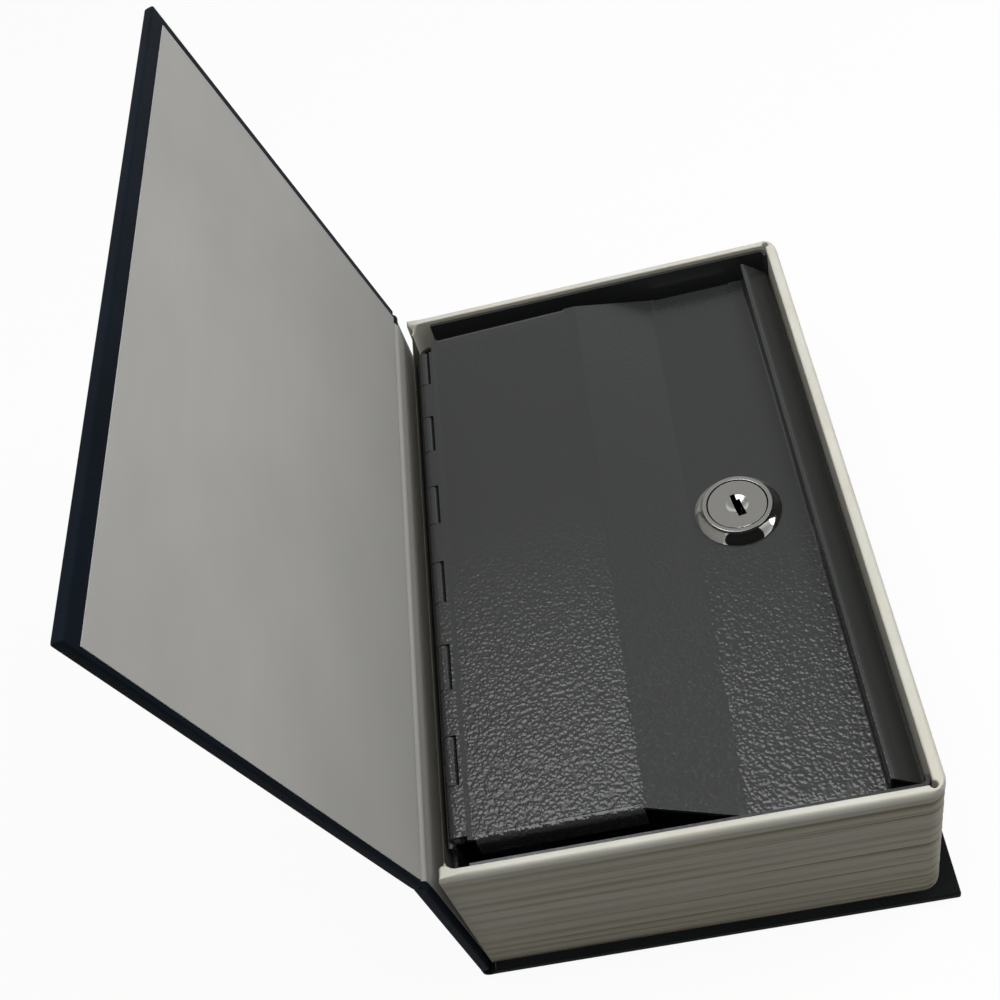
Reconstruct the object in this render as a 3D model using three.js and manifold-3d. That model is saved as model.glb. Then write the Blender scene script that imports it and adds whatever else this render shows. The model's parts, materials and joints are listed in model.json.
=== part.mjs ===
// A hollow book that hides a small steel cash box.
// Millimetres, +Z up, +X towards the fore edge, +Y towards the head of the spine.
// The origin is the centre of the back cover's underside.
// Everything is modelled with the book shut; groups then open the spine and the front cover.
import * as THREE from 'three';
import { mergeVertices } from 'three/addons/utils/BufferGeometryUtils.js';
import Module from 'manifold-3d';

const wasm = await Module();
wasm.setup();

// Book, overall
const bookLength = 180;
const shutWidth = 116.4;
const blockHeight = 52.7;
const foreOverhang = 3.7;
const endOverhang = 2;
const coverClearance = 0.3;
const spineLean = 2.4;
const coverLean = 11.2;

// Boards, cloth and paper
const boardThickness = 1.9;
const spineBoardThickness = 1.5;
const clothThickness = 0.3;
const paperThickness = 0.15;
const glueLine = 0.05;
const turnInWidth = 12;
const spineTurnInWidth = 10;
const paperForeMargin = 5;
const paperEndMargin = 2.4;
const paperJointMargin = 1;
const hingeDepth = 1.6;
const jointReach = 1.8;

// Moulded page block
const endWall = 2.2;
const foreWall = 3;
const spineWall = 0.9;
const spineWallRecess = 0.5;
const spineWallDrop = 1;
const blockForeRadius = 3;
const blockSpineRadius = 0.6;
const innerSpineRadius = 3;
const rimHeight = 5.4;
const rimRound = 1.3;
const grooveCount = 11;
const grooveDepth = 0.5;
const grooveHeight = 0.9;
const ledgeThickness = 1.2;
const ledgeWidth = 8;
const reliefRadius = 1.3;

// Steel box
const sheet = 0.9;
const boxFit = 0.2;
const boxForeRadius = 2;
const wallTopDrop = 1.3;
const hingeWallDrop = 4.5;
const cornerNotchLength = 5.5;
const cornerNotchDrop = 9;
const restFlangeWidth = 8;
const lidRestGap = 0.3;
const strikeLength = 24;
const strikeWidth = 8.6;
const strikeHeight = 7;
const strikeGap = 0.5;
const adhesiveMargin = 1.5;

// Rivets through the box floor
const rivetInset = 4.6;
const rivetHeadRadius = 2.8;
const rivetHeadHeight = 1;
const rivetRadius = 1.5;
const rivetClearance = 0.2;
const rivetShoulder = 2.2;
const rivetShoulderHeight = 0.7;

// Hinge
const pinRadius = 0.85;
const pinClearance = 0.1;
const knuckleWall = 0.95;
const knuckleLength = 12.7;
const knuckleCount = 12;
const knuckleGap = 0.25;
const hingeOffset = -2;
const leafHeight = 14;
const leafSwingGap = 0.4;

// Lid
const hingeStripWidth = 3.9;
const joggleWidth = 0.8;
const joggleDrop = 0.5;
const ridgeRise = 0.8;
const slopeWidth = 21.6;
const plateauWidth = 28.8;
const plateauDrop = 6.8;
const bendSlant = 1.7;
const railSetback = 8.1;
const railHeight = 6.7;
const lipClearance = 1.2;
const lipHeight = 0.9;
const panelEndGap = 5.8;
const plateauEndGap = 3.2;
const panelFlange = 5.5;
const plateauFlange = 4.5;
const flangeSetback = 3;

// Cam lock, measured from the top of the plateau it sits on
const lockFromForeWall = 25;
const bezelRadius = 11;
const bezelTopRadius = 8.65;
const bezelHeight = 3.1;
const bezelBaseHeight = 0.5;
const bezelRound = 0.3;
const plugHeadRadius = 7.5;
const plugHeadThickness = 1.25;
const plugSink = 0.1;
const plugRadius = 5.5;
const plugClearance = 0.15;
const barrelRadius = 7.8;
const barrelLength = 12;
const barrelFlat = 6.9;
const lockHoleClearance = 0.2;
const dimpleRadius = 2.9;
const dimpleDepth = 0.7;
const dimpleWaist = 2;
const dimpleWaistDepth = 0.5;
const keywayLength = 8.6;
const keywayWidth = 1.8;
const keywayDepth = 12.5;
const keywayAngle = 14;
const wardLength = 5.4;
const wardWidth = 0.7;
const lockNutFlats = 20;
const lockNutThickness = 2.5;
const camRunningGap = 0.3;
const camThickness = 2;
const camLength = 20;
const camWidth = 9;
const camHubRadius = 7;
const tailSize = 5.2;
const tailClearance = 0.15;
const camScrewRadius = 1.6;
const camScrewLength = 6;
const camScrewHeadRadius = 3.6;
const camScrewHeadHeight = 2.2;
const camScrewCrown = 2.5;
const driveSlotWidth = 0.9;
const screwHoleClearance = 0.15;
const washerRadius = 4.8;
const washerThickness = 0.8;

// Wafers and their springs
const waferCount = 4;
const waferPitch = 2.2;
const waferTopDepth = 1.5;
const waferThickness = 0.6;
const waferWidth = 4.6;
const waferLength = 9.8;
const waferWindowWidth = 2.4;
const waferWindowLength = 6.4;
const waferClearance = 0.2;
const earWidth = 2;
const earLength = 1;
const earPlace = 0.8;
const springOffset = 3.6;
const springRadius = 0.5;
const springWire = 0.15;
const springLength = 3.6;
const springTurns = 4;

// Facets and margins for cuts
const roundSides = 32;
const smallSides = 16;
const hexSides = 6;
const cornerSteps = 5;
const rimSteps = 2;
const springSteps = 8;
const cutMargin = 1;
const weldTolerance = 1e-5;

// Cover layers, counted from the outer face inwards
const boardStart = clothThickness + glueLine;
const coverTurnIn = boardStart + boardThickness + glueLine;
const backThickness = coverTurnIn + clothThickness;
const frontThickness = backThickness + glueLine + paperThickness;
const spineTurnIn = boardStart + spineBoardThickness + glueLine;
const liningStart = spineTurnIn + clothThickness + glueLine;
const spineThickness = liningStart + paperThickness;

// Places that several pieces share
const foreEdge = shutWidth / 2;
const spineOuter = -shutWidth / 2;
const bookHalf = bookLength / 2;
const blockLeft = spineOuter + spineThickness + coverClearance;
const blockRight = foreEdge - foreOverhang;
const blockHalf = bookHalf - endOverhang;
const blockBottom = backThickness;
const blockTop = blockBottom + blockHeight;
const frontOuter = blockTop + coverClearance + frontThickness;
const backPivot = { x: spineOuter + hingeDepth, z: hingeDepth };
const frontPivot = { x: spineOuter + hingeDepth, z: frontOuter - hingeDepth };
const cavityLeft = blockLeft + spineWallRecess + spineWall;
const cavityRight = blockRight - foreWall;
const cavityHalf = blockHalf - endWall;
const boxLeft = cavityLeft + boxFit;
const boxRight = cavityRight - boxFit;
const boxHalf = cavityHalf - boxFit;
const boxBottom = blockBottom + ledgeThickness;
const boxFloor = boxBottom + sheet;
const boxSpineRadius = innerSpineRadius - boxFit;
const boxTop = blockTop - wallTopDrop;
const boreRadius = pinRadius + pinClearance;
const knuckleRadius = boreRadius + knuckleWall;
const axisX = boxLeft + sheet + knuckleRadius;
const axisZ = boxTop - knuckleRadius;
const hingeFar = hingeOffset + knuckleCount * knuckleLength / 2;
const hingeNear = hingeFar - knuckleCount * knuckleLength;
const hingeWallTop = boxTop - hingeWallDrop;
const panelZ = boxTop - joggleDrop;
const ridgeZ = panelZ + ridgeRise;
const plateauZ = boxTop - plateauDrop;
const panelStart = axisX + hingeStripWidth;
const railX = cavityRight - railSetback;
const valleyX = railX - plateauWidth;
const ridgeX = valleyX - slopeWidth;
const panelHalf = cavityHalf - panelEndGap;
const plateauHalf = cavityHalf - plateauEndGap;
const restTop = plateauZ - sheet - lidRestGap;
const restEdge = boxRight - sheet - restFlangeWidth;
const lockX = cavityRight - lockFromForeWall;
const plugBottom = -barrelLength - camRunningGap;
const camBottom = plugBottom - camThickness;
const washerBottom = camBottom - washerThickness;
const strikeZ = plateauZ + plugBottom + strikeGap;

// Colour, roughness and metalness of each finish
const finishes = {
  leatherette: [0x171c24, 0.55, 0],
  endpaper: [0xa2a19d, 0.9, 0],
  greyboard: [0x8a857a, 0.95, 0],
  ivory: [0xd2d0c4, 0.5, 0],
  hammertone: [0x47494a, 0.45, 0.3],
  nickel: [0xb9b9b5, 0.2, 1],
  zinc: [0xa8abad, 0.4, 1],
  brass: [0xb59a5a, 0.35, 1],
  foam: [0xd8d6d0, 1, 0],
};

function radians(degrees) {
  return degrees * Math.PI / 180;
}

// A closed three.js geometry as a solid that can be cut and joined
function toSolid(geometry) {
  const bare = geometry.clone();
  bare.deleteAttribute('normal');
  bare.deleteAttribute('uv');
  const merged = mergeVertices(bare, weldTolerance);
  const vertProperties = merged.attributes.position.array;
  const triVerts = Uint32Array.from(merged.index.array);
  return new wasm.Manifold(new wasm.Mesh({ numProp: 3, vertProperties, triVerts }));
}

function toGeometry(solid) {
  const { vertProperties, triVerts } = solid.getMesh();
  const geometry = new THREE.BufferGeometry();
  geometry.setAttribute('position', new THREE.BufferAttribute(vertProperties, 3));
  geometry.setIndex(new THREE.BufferAttribute(triVerts, 1));
  geometry.computeVertexNormals();
  return geometry;
}

// A block between two limits on each axis
function block(xs, ys, zs) {
  const size = [xs, ys, zs].map(([low, high]) => high - low);
  const centre = [xs, ys, zs].map(([low, high]) => (low + high) / 2);
  return toSolid(new THREE.BoxGeometry(...size).translate(...centre));
}

// A shape drawn in X and Y, pulled up between two heights
function alongZ(shape, bottom, top) {
  const options = { depth: top - bottom, bevelEnabled: false, curveSegments: cornerSteps };
  return toSolid(new THREE.ExtrudeGeometry(shape, options).translate(0, 0, bottom));
}

// A shape drawn in X and Z, pulled along Y between two ends
function alongY(shape, near, far) {
  const options = { depth: far - near, bevelEnabled: false, curveSegments: cornerSteps };
  return toSolid(new THREE.ExtrudeGeometry(shape, options).rotateX(Math.PI / 2).translate(0, far, 0));
}

function polygon(points) {
  return new THREE.Shape(points.map(([x, y]) => new THREE.Vector2(x, y)));
}

// A round bar along Z, or along Y through a point in X and Z
function barZ(radius, bottom, top, x = 0, y = 0, sides = roundSides) {
  const bar = new THREE.CylinderGeometry(radius, radius, top - bottom, sides);
  return toSolid(bar.rotateX(Math.PI / 2).translate(x, y, (bottom + top) / 2));
}

function barY(radius, near, far, x, z) {
  const bar = new THREE.CylinderGeometry(radius, radius, far - near, smallSides);
  return toSolid(bar.translate(x, (near + far) / 2, z));
}

// A closed profile of radius and height, turned about Z
function turned(profile, sides = roundSides) {
  const points = profile.map(([radius, height]) => new THREE.Vector2(radius, height));
  return toSolid(new THREE.LatheGeometry(points, sides).rotateX(Math.PI / 2));
}

// A rectangle whose corners on the low-X side and on the high-X side have their own radii
function roundedRectangle([left, right], half, leftRadius, rightRadius) {
  const shape = new THREE.Shape();
  const quarter = Math.PI / 2;
  shape.absarc(left + leftRadius, -half + leftRadius, leftRadius, 2 * quarter, 3 * quarter);
  shape.absarc(right - rightRadius, -half + rightRadius, rightRadius, 3 * quarter, 4 * quarter);
  shape.absarc(right - rightRadius, half - rightRadius, rightRadius, 0, quarter);
  shape.absarc(left + leftRadius, half - leftRadius, leftRadius, quarter, 2 * quarter);
  return shape;
}

// A bent sheet: the line of its top face, given a thickness below it, with mitred bends
function bentSheet(line, thickness) {
  const under = line.map((point, i) => {
    const before = line[Math.max(i - 1, 0)];
    const after = line[Math.min(i + 1, line.length - 1)];
    const first = i > 0 ? normal(before, point) : normal(point, after);
    const second = i < line.length - 1 ? normal(point, after) : first;
    const scale = thickness / (1 + first[0] * second[0] + first[1] * second[1]);
    return [point[0] + (first[0] + second[0]) * scale, point[1] + (first[1] + second[1]) * scale];
  });
  return polygon([...line, ...under.reverse()]);
}

// The unit vector that points below a line drawn from left to right
function normal([x0, z0], [x1, z1]) {
  const length = Math.hypot(x1 - x0, z1 - z0);
  return [(z1 - z0) / length, -(x1 - x0) / length];
}

function part(name, body, finish) {
  const [color, roughness, metalness] = finishes[finish];
  const geometry = body.isBufferGeometry ? body : toGeometry(body);
  const material = new THREE.MeshStandardMaterial({ color, roughness, metalness });
  const mesh = new THREE.Mesh(geometry, material);
  mesh.name = name;
  return mesh;
}

function group(...children) {
  const set = new THREE.Group();
  set.add(...children);
  return set;
}

// Opens its children outwards about a line along Y
function swung(pivot, degrees, ...children) {
  const shut = group(...children);
  shut.position.set(-pivot.x, 0, -pivot.z);
  const open = group(shut);
  open.position.set(pivot.x, 0, pivot.z);
  open.rotation.y = -radians(degrees);
  return open;
}

// Covers: depth is counted from the outer face; up is 1 for the back and -1 for the front
const boardHinge = backPivot.x + jointReach;

function coverDepth(outer, up, near, far) {
  return [outer + up * near, outer + up * far].sort((a, b) => a - b);
}

function coverBoard(outer, up) {
  const half = bookHalf - boardStart;
  const depth = coverDepth(outer, up, boardStart, boardStart + boardThickness);
  return block([boardHinge, foreEdge - boardStart], [-half, half], depth);
}

// Cloth round three edges of a board, with its turn-ins on the inner face
function coverCloth(outer, up) {
  const within = bookHalf - clothThickness;
  const window = bookHalf - turnInWidth;
  const start = boardHinge - cutMargin;
  const whole = coverDepth(outer, up, 0, backThickness);
  const pocket = coverDepth(outer, up, clothThickness, coverTurnIn);
  const opening = coverDepth(outer, up, boardStart, backThickness + cutMargin);
  return block([boardHinge, foreEdge], [-bookHalf, bookHalf], whole)
    .subtract(block([start, foreEdge - clothThickness], [-within, within], pocket))
    .subtract(block([start, foreEdge - turnInWidth], [-window, window], opening));
}

function frontEndpaper() {
  const half = bookHalf - paperEndMargin;
  const depth = coverDepth(frontOuter, -1, frontThickness - paperThickness, frontThickness);
  const start = boardHinge + paperJointMargin;
  return block([start, foreEdge - paperForeMargin], [-half, half], depth);
}

// Spine, standing between the two joints
const spineLow = backPivot.z + jointReach;
const spineHigh = frontPivot.z - jointReach;

function spineSlab(near, far, half) {
  return block([spineOuter + near, spineOuter + far], [-half, half], [spineLow, spineHigh]);
}

function spineCloth() {
  const within = bookHalf - clothThickness;
  const window = bookHalf - spineTurnInWidth;
  const low = spineLow - cutMargin;
  const high = spineHigh + cutMargin;
  const pocket = [spineOuter + clothThickness, spineOuter + spineTurnIn];
  const opening = [spineOuter + boardStart, spineOuter + spineThickness];
  return spineSlab(0, spineTurnIn + clothThickness, bookHalf)
    .subtract(block(pocket, [-within, within], [low, high]))
    .subtract(block(opening, [-window, window], [low, high]));
}

// The cloth that wraps the foot of the spine, from the back cover up to the leaning spine
function backJointCloth() {
  const lean = radians(spineLean);
  const { x, z } = backPivot;
  const inner = hingeDepth - clothThickness;
  const along = [-Math.sin(lean) * (jointReach - glueLine), Math.cos(lean) * (jointReach - glueLine)];
  const end = (radius) => [x - Math.cos(lean) * radius + along[0], z - Math.sin(lean) * radius + along[1]];
  const shape = new THREE.Shape();
  shape.moveTo(boardHinge, 0);
  shape.absarc(x, z, hingeDepth, 1.5 * Math.PI, Math.PI + lean, true);
  shape.lineTo(...end(hingeDepth));
  shape.lineTo(...end(inner));
  shape.absarc(x, z, inner, Math.PI + lean, 1.5 * Math.PI, false);
  shape.lineTo(boardHinge, clothThickness);
  return alongY(shape, -bookHalf, bookHalf);
}

// A thin strip across the front joint: its faces pass the pivot at these distances to its right
function frontJointStrip(spineFaces, coverFaces, half, coverReach = jointReach) {
  const lean = radians(coverLean);
  const { x, z } = frontPivot;
  const low = z - jointReach + glueLine;
  const reach = coverReach - glueLine;
  const upper = (offset) => [
    x + offset * Math.cos(lean) - reach * Math.sin(lean),
    z + offset * Math.sin(lean) + reach * Math.cos(lean),
  ];
  const middle = (offset) => [x + offset, z + offset * Math.tan(lean / 2)];
  const outer = [[x + spineFaces[0], low], middle(coverFaces[0]), upper(coverFaces[0])];
  const inner = [upper(coverFaces[1]), middle(coverFaces[1]), [x + spineFaces[1], low]];
  return alongY(polygon([...outer, ...inner]), -half, half);
}

function frontJointCloth() {
  const faces = [-hingeDepth, clothThickness - hingeDepth];
  return frontJointStrip(faces, faces, bookHalf);
}

function frontJointLining() {
  const spineFaces = [liningStart - hingeDepth, spineThickness - hingeDepth];
  const coverFaces = [frontThickness - paperThickness - hingeDepth, frontThickness - hingeDepth];
  const reach = jointReach + paperJointMargin;
  return frontJointStrip(spineFaces, coverFaces, bookHalf - paperEndMargin, reach);
}

// Moulded page block
function pageOutline(inset) {
  const sides = [blockLeft, blockRight - inset];
  return roundedRectangle(sides, blockHalf - inset, blockSpineRadius, blockForeRadius);
}

// The rim's rounding runs out past the spine side, where the outline cuts it square
function pageRim() {
  const run = blockForeRadius + cutMargin;
  const rounded = roundedRectangle([blockLeft - run, blockRight], blockHalf, run, blockForeRadius);
  const options = {
    depth: rimHeight - 2 * rimRound,
    bevelThickness: rimRound,
    bevelSize: rimRound,
    bevelOffset: -rimRound,
    bevelSegments: rimSteps,
    curveSegments: cornerSteps,
  };
  const rim = new THREE.ExtrudeGeometry(rounded, options);
  return toSolid(rim.translate(0, 0, blockTop - rimHeight + rimRound))
    .intersect(alongZ(pageOutline(0), blockTop - rimHeight, blockTop));
}

// The leaves of the page block: bands of full size with grooves between them
function pageLeaves() {
  const stack = blockHeight - rimHeight;
  const pitch = stack / grooveCount;
  let leaves = alongZ(pageOutline(grooveDepth), blockBottom, blockTop - rimRound);
  for (let i = 0; i < grooveCount; i += 1) {
    const bottom = blockBottom + i * pitch;
    leaves = leaves.add(alongZ(pageOutline(0), bottom, bottom + pitch - grooveHeight));
  }
  return leaves;
}

function pageCavity() {
  const outline = roundedRectangle([cavityLeft, cavityRight], cavityHalf, innerSpineRadius, sheet);
  const top = blockTop + cutMargin;
  let cavity = alongZ(outline, boxBottom, top);
  for (const y of [-cavityHalf, cavityHalf]) {
    cavity = cavity.add(barZ(reliefRadius, boxBottom, top, cavityRight, y, smallSides));
  }
  return cavity;
}

function rivetPlaces() {
  const xs = [cavityLeft + rivetInset, cavityRight - rivetInset];
  const ys = [-cavityHalf + rivetInset, cavityHalf - rivetInset];
  return xs.flatMap((x) => ys.map((y) => [x, y]));
}

function drillRivetHoles(body, bottom, top) {
  const radius = rivetRadius + rivetClearance;
  return rivetPlaces().reduce((drilled, [x, y]) => (
    drilled.subtract(barZ(radius, bottom, top, x, y, smallSides))
  ), body);
}

function pageFrame() {
  const gap = cavityHalf - innerSpineRadius;
  const opening = cavityHalf - ledgeWidth;
  const across = [cavityLeft + ledgeWidth, cavityRight - ledgeWidth];
  const outside = [blockLeft - cutMargin, blockLeft + spineWallRecess];
  const overSpine = [blockLeft - cutMargin, cavityLeft];
  const recess = [blockBottom - cutMargin, blockTop + cutMargin];
  const drop = [blockTop - spineWallDrop, blockTop + cutMargin];
  const frame = pageLeaves()
    .add(pageRim())
    .subtract(pageCavity())
    .subtract(block(across, [-opening, opening], [blockBottom - cutMargin, boxBottom + cutMargin]))
    .subtract(block(outside, [-gap, gap], recess))
    .subtract(block(overSpine, [-gap, gap], drop));
  return drillRivetHoles(frame, blockBottom - cutMargin, boxBottom + cutMargin);
}

function boxAdhesive() {
  const xs = [cavityLeft + ledgeWidth + adhesiveMargin, cavityRight - ledgeWidth - adhesiveMargin];
  const half = cavityHalf - ledgeWidth - adhesiveMargin;
  return block(xs, [-half, half], [coverTurnIn, boxBottom]);
}

// Steel box: a folded tray, low at the hinge and at the fore edge
function steelBox() {
  const inner = [boxLeft + sheet, boxRight - sheet];
  const innerHalf = boxHalf - sheet;
  const above = boxTop + cutMargin;
  const outline = roundedRectangle([boxLeft, boxRight], boxHalf, boxSpineRadius, boxForeRadius);
  const hollow = roundedRectangle(inner, innerHalf, boxSpineRadius - sheet, boxForeRadius - sheet);
  const hingeSide = [boxLeft - cutMargin, boxLeft + boxSpineRadius];
  const notch = [boxLeft - cutMargin, boxLeft + cornerNotchLength];
  const foreSide = [boxRight - boxForeRadius, boxRight + cutMargin];
  const clear = boxHalf - boxSpineRadius;
  const notchTop = [boxTop - cornerNotchDrop, above];
  let box = alongZ(outline, boxBottom, boxTop)
    .subtract(alongZ(hollow, boxFloor, above))
    .subtract(block(hingeSide, [-clear, clear], [hingeWallTop, above]))
    .subtract(block(notch, [-boxHalf - cutMargin, hingeNear - knuckleGap], notchTop))
    .subtract(block(notch, [hingeFar + knuckleGap, boxHalf + cutMargin], notchTop))
    .subtract(block(foreSide, [-clear, clear], [restTop, above]));
  box = box.add(block([restEdge, boxRight - sheet / 2], [-clear, clear], [restTop - sheet, restTop]));
  return drillRivetHoles(box, boxBottom - cutMargin, boxFloor + cutMargin);
}

function strikeBracket() {
  const wall = boxRight - sheet;
  const edge = wall - strikeWidth;
  const profile = polygon([
    [edge, strikeZ],
    [wall, strikeZ],
    [wall, strikeZ + strikeHeight],
    [wall - sheet, strikeZ + strikeHeight],
    [wall - sheet, strikeZ + sheet],
    [edge, strikeZ + sheet],
  ]);
  return alongY(profile, -strikeLength / 2, strikeLength / 2);
}

function rivet() {
  return turned([
    [0, blockBottom],
    [rivetRadius, blockBottom],
    [rivetRadius, boxFloor],
    [rivetHeadRadius, boxFloor],
    [rivetShoulder, boxFloor + rivetShoulderHeight],
    [0, boxFloor + rivetHeadHeight],
  ], smallSides);
}

// Hinge: knuckles are numbered from the far end, even ones on the box, odd ones on the lid
function knuckleSpan(index) {
  const far = hingeFar - index * knuckleLength;
  return [far - knuckleLength + knuckleGap / 2, far - knuckleGap / 2];
}

function knuckleIndices(first) {
  const indices = [];
  for (let i = first; i < knuckleCount; i += 2) indices.push(i);
  return indices;
}

function addKnuckles(body, first) {
  let joined = body;
  for (const index of knuckleIndices(first)) {
    joined = joined.add(barY(knuckleRadius, ...knuckleSpan(index), axisX, axisZ));
  }
  const ends = [hingeNear - cutMargin, hingeFar + cutMargin];
  return joined.subtract(barY(boreRadius, ...ends, axisX, axisZ));
}

function hingeLeaf() {
  const plate = [axisX - knuckleRadius, axisX - boreRadius];
  const bottom = axisZ - leafHeight;
  const low = axisZ - knuckleRadius - leafSwingGap;
  let leaf = block(plate, [hingeNear, hingeFar], [bottom, low]);
  for (const index of knuckleIndices(0)) {
    leaf = leaf.add(block(plate, knuckleSpan(index), [bottom, axisZ]));
  }
  return addKnuckles(leaf, 0);
}

function hingePin() {
  return barY(pinRadius, hingeNear, hingeFar, axisX, axisZ);
}

// Lid: one sheet with five bends, cut to its plan and trimmed at the hinge
function lidLine() {
  const lipEnd = cavityRight - lipClearance;
  return [
    [axisX, boxTop],
    [panelStart, boxTop],
    [panelStart + joggleWidth, panelZ],
    [ridgeX, ridgeZ],
    [valleyX, plateauZ],
    [railX, plateauZ],
    [railX, plateauZ + railHeight],
    [lipEnd, plateauZ + lipHeight],
  ];
}

// The ridge and the valley run a little askew, so their bends shift along the lid
function slantBends(geometry) {
  const position = geometry.attributes.position;
  const middle = (ridgeX + valleyX) / 2;
  const reach = slopeWidth / 2 + sheet;
  for (let i = 0; i < position.count; i += 1) {
    const beside = Math.abs(position.getX(i) - middle) < reach;
    const shift = beside ? bendSlant * position.getY(i) / plateauHalf : 0;
    position.setX(i, position.getX(i) + shift);
  }
  return geometry;
}

function lidSheet() {
  const half = plateauHalf;
  const shape = bentSheet(lidLine(), sheet);
  const options = { depth: 2 * half, bevelEnabled: false };
  const geometry = new THREE.ExtrudeGeometry(shape, options);
  return toSolid(slantBends(geometry.rotateX(Math.PI / 2).translate(0, half, 0)));
}

function lidPlan() {
  const left = boxLeft;
  const right = cavityRight;
  const nearSide = [
    [left, hingeNear],
    [panelStart, hingeNear],
    [panelStart, -panelHalf],
    [ridgeX, -panelHalf],
    [valleyX, -plateauHalf],
    [right, -plateauHalf],
  ];
  const farSide = [
    [right, plateauHalf],
    [valleyX, plateauHalf],
    [ridgeX, panelHalf],
    [panelStart, panelHalf],
    [panelStart, hingeFar],
    [left, hingeFar],
  ];
  return alongZ(polygon([...nearSide, ...farSide]), plateauZ - railHeight, blockTop + cutMargin);
}

// Turned-down ends under the panel and under the plateau
function lidFlanges() {
  const start = panelStart + joggleWidth;
  const end = ridgeX - flangeSetback;
  const rise = ridgeRise * (end - start) / (ridgeX - start);
  const under = sheet / 2;
  const panel = polygon([
    [start, panelZ - sheet - panelFlange],
    [end, panelZ - sheet - panelFlange],
    [end, panelZ + rise - under],
    [start, panelZ - under],
  ]);
  const plateau = polygon([
    [valleyX + flangeSetback, plateauZ - sheet - plateauFlange],
    [restEdge - flangeSetback, plateauZ - sheet - plateauFlange],
    [restEdge - flangeSetback, plateauZ - under],
    [valleyX + flangeSetback, plateauZ - under],
  ]);
  return alongY(panel, -panelHalf, -panelHalf + sheet)
    .add(alongY(panel, panelHalf - sheet, panelHalf))
    .add(alongY(plateau, -plateauHalf, -plateauHalf + sheet))
    .add(alongY(plateau, plateauHalf - sheet, plateauHalf));
}

// A round bar or hole with two flats that face near and far
function flattened(radius, flat, bottom, top, x = 0) {
  const across = [x - radius - cutMargin, x + radius + cutMargin];
  return barZ(radius, bottom, top, x).intersect(block(across, [-flat, flat], [bottom, top]));
}

function lidBody() {
  let body = addKnuckles(lidSheet().intersect(lidPlan()).add(lidFlanges()), 1);
  const window = [boxLeft - cutMargin, axisX + knuckleRadius + leafSwingGap];
  for (const index of knuckleIndices(0)) {
    const [near, far] = knuckleSpan(index);
    const gap = [near - knuckleGap, far + knuckleGap];
    body = body.subtract(block(window, gap, [axisZ - knuckleRadius, blockTop]));
  }
  const hole = [barrelRadius + lockHoleClearance, barrelFlat + lockHoleClearance];
  return body.subtract(flattened(...hole, plateauZ - 2 * sheet, plateauZ + sheet, lockX));
}

// Cam lock, modelled about its own axis with the plateau's top face at zero
function lockHousing() {
  const head = plugHeadRadius + plugClearance;
  const bore = plugRadius + plugClearance;
  const shelf = bezelHeight - plugSink - plugHeadThickness - plugClearance;
  const bezel = turned([
    [0, 0],
    [bezelRadius, 0],
    [bezelRadius, bezelBaseHeight],
    [bezelTopRadius + bezelRound, bezelHeight - bezelRound],
    [bezelTopRadius, bezelHeight],
    [head, bezelHeight],
    [head, shelf],
    [0, shelf],
  ]);
  return bezel.add(flattened(barrelRadius, barrelFlat, -barrelLength, bezelBaseHeight / 2))
    .subtract(barZ(bore, -barrelLength - cutMargin, shelf + cutMargin));
}

// Cuts that follow the key, turned to the keyway's angle
function alongKey(xs, ys, zs) {
  return block(xs, ys, zs).rotate([0, 0, keywayAngle]);
}

function waferHeight(index) {
  return -waferTopDepth - index * waferPitch;
}

function waferSlot(index) {
  const z = waferHeight(index);
  const across = waferWidth / 2 + waferClearance;
  const along = waferLength / 2 + waferClearance;
  const thick = waferThickness / 2 + waferClearance;
  const spring = springRadius + springWire + waferClearance;
  const earEdge = waferWidth / 2 + earWidth + waferClearance;
  const springStart = earPlace - springLength - waferClearance;
  const plate = alongKey([-across, across], [-along, along], [z - thick, z + thick]);
  const side = [0, Math.max(earEdge, springOffset + spring)];
  const length = [springStart, earPlace + earLength + 2 * waferClearance];
  return plate.add(alongKey(side, length, [z - spring, z + spring]));
}

function lockPlug() {
  const top = bezelHeight - plugSink;
  const shoulder = top - plugHeadThickness;
  const hole = camScrewRadius + screwHoleClearance;
  let plug = turned([
    [0, plugBottom],
    [plugRadius, plugBottom],
    [plugRadius, shoulder],
    [plugHeadRadius, shoulder],
    [plugHeadRadius, top],
    [dimpleRadius, top],
    [dimpleWaist, top - dimpleWaistDepth],
    [0, top - dimpleDepth],
  ]);
  const tail = tailSize / 2;
  plug = plug.add(block([-tail, tail], [-tail, tail], [camBottom, plugBottom + cutMargin]));
  const keyway = [top - keywayDepth, top + cutMargin];
  const half = keywayLength / 2;
  const side = keywayWidth / 2;
  plug = plug
    .subtract(alongKey([-side, side], [-half, half], keyway))
    .subtract(alongKey([side - wardWidth, side + wardWidth], [-half, wardLength - half], keyway))
    .subtract(barZ(hole, camBottom - cutMargin, camBottom + camScrewLength, 0, 0, smallSides));
  for (let i = 0; i < waferCount; i += 1) plug = plug.subtract(waferSlot(i));
  return plug;
}

function wafer(index) {
  const z = waferHeight(index);
  const thickness = [z - waferThickness / 2, z + waferThickness / 2];
  const across = waferWidth / 2;
  const along = waferLength / 2;
  const windowAcross = waferWindowWidth / 2;
  const windowAlong = waferWindowLength / 2;
  const through = [z - cutMargin, z + cutMargin];
  return alongKey([-across, across], [-along, along], thickness)
    .add(alongKey([0, across + earWidth], [earPlace, earPlace + earLength], thickness))
    .subtract(alongKey([-windowAcross, windowAcross], [-windowAlong, windowAlong], through));
}

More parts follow.
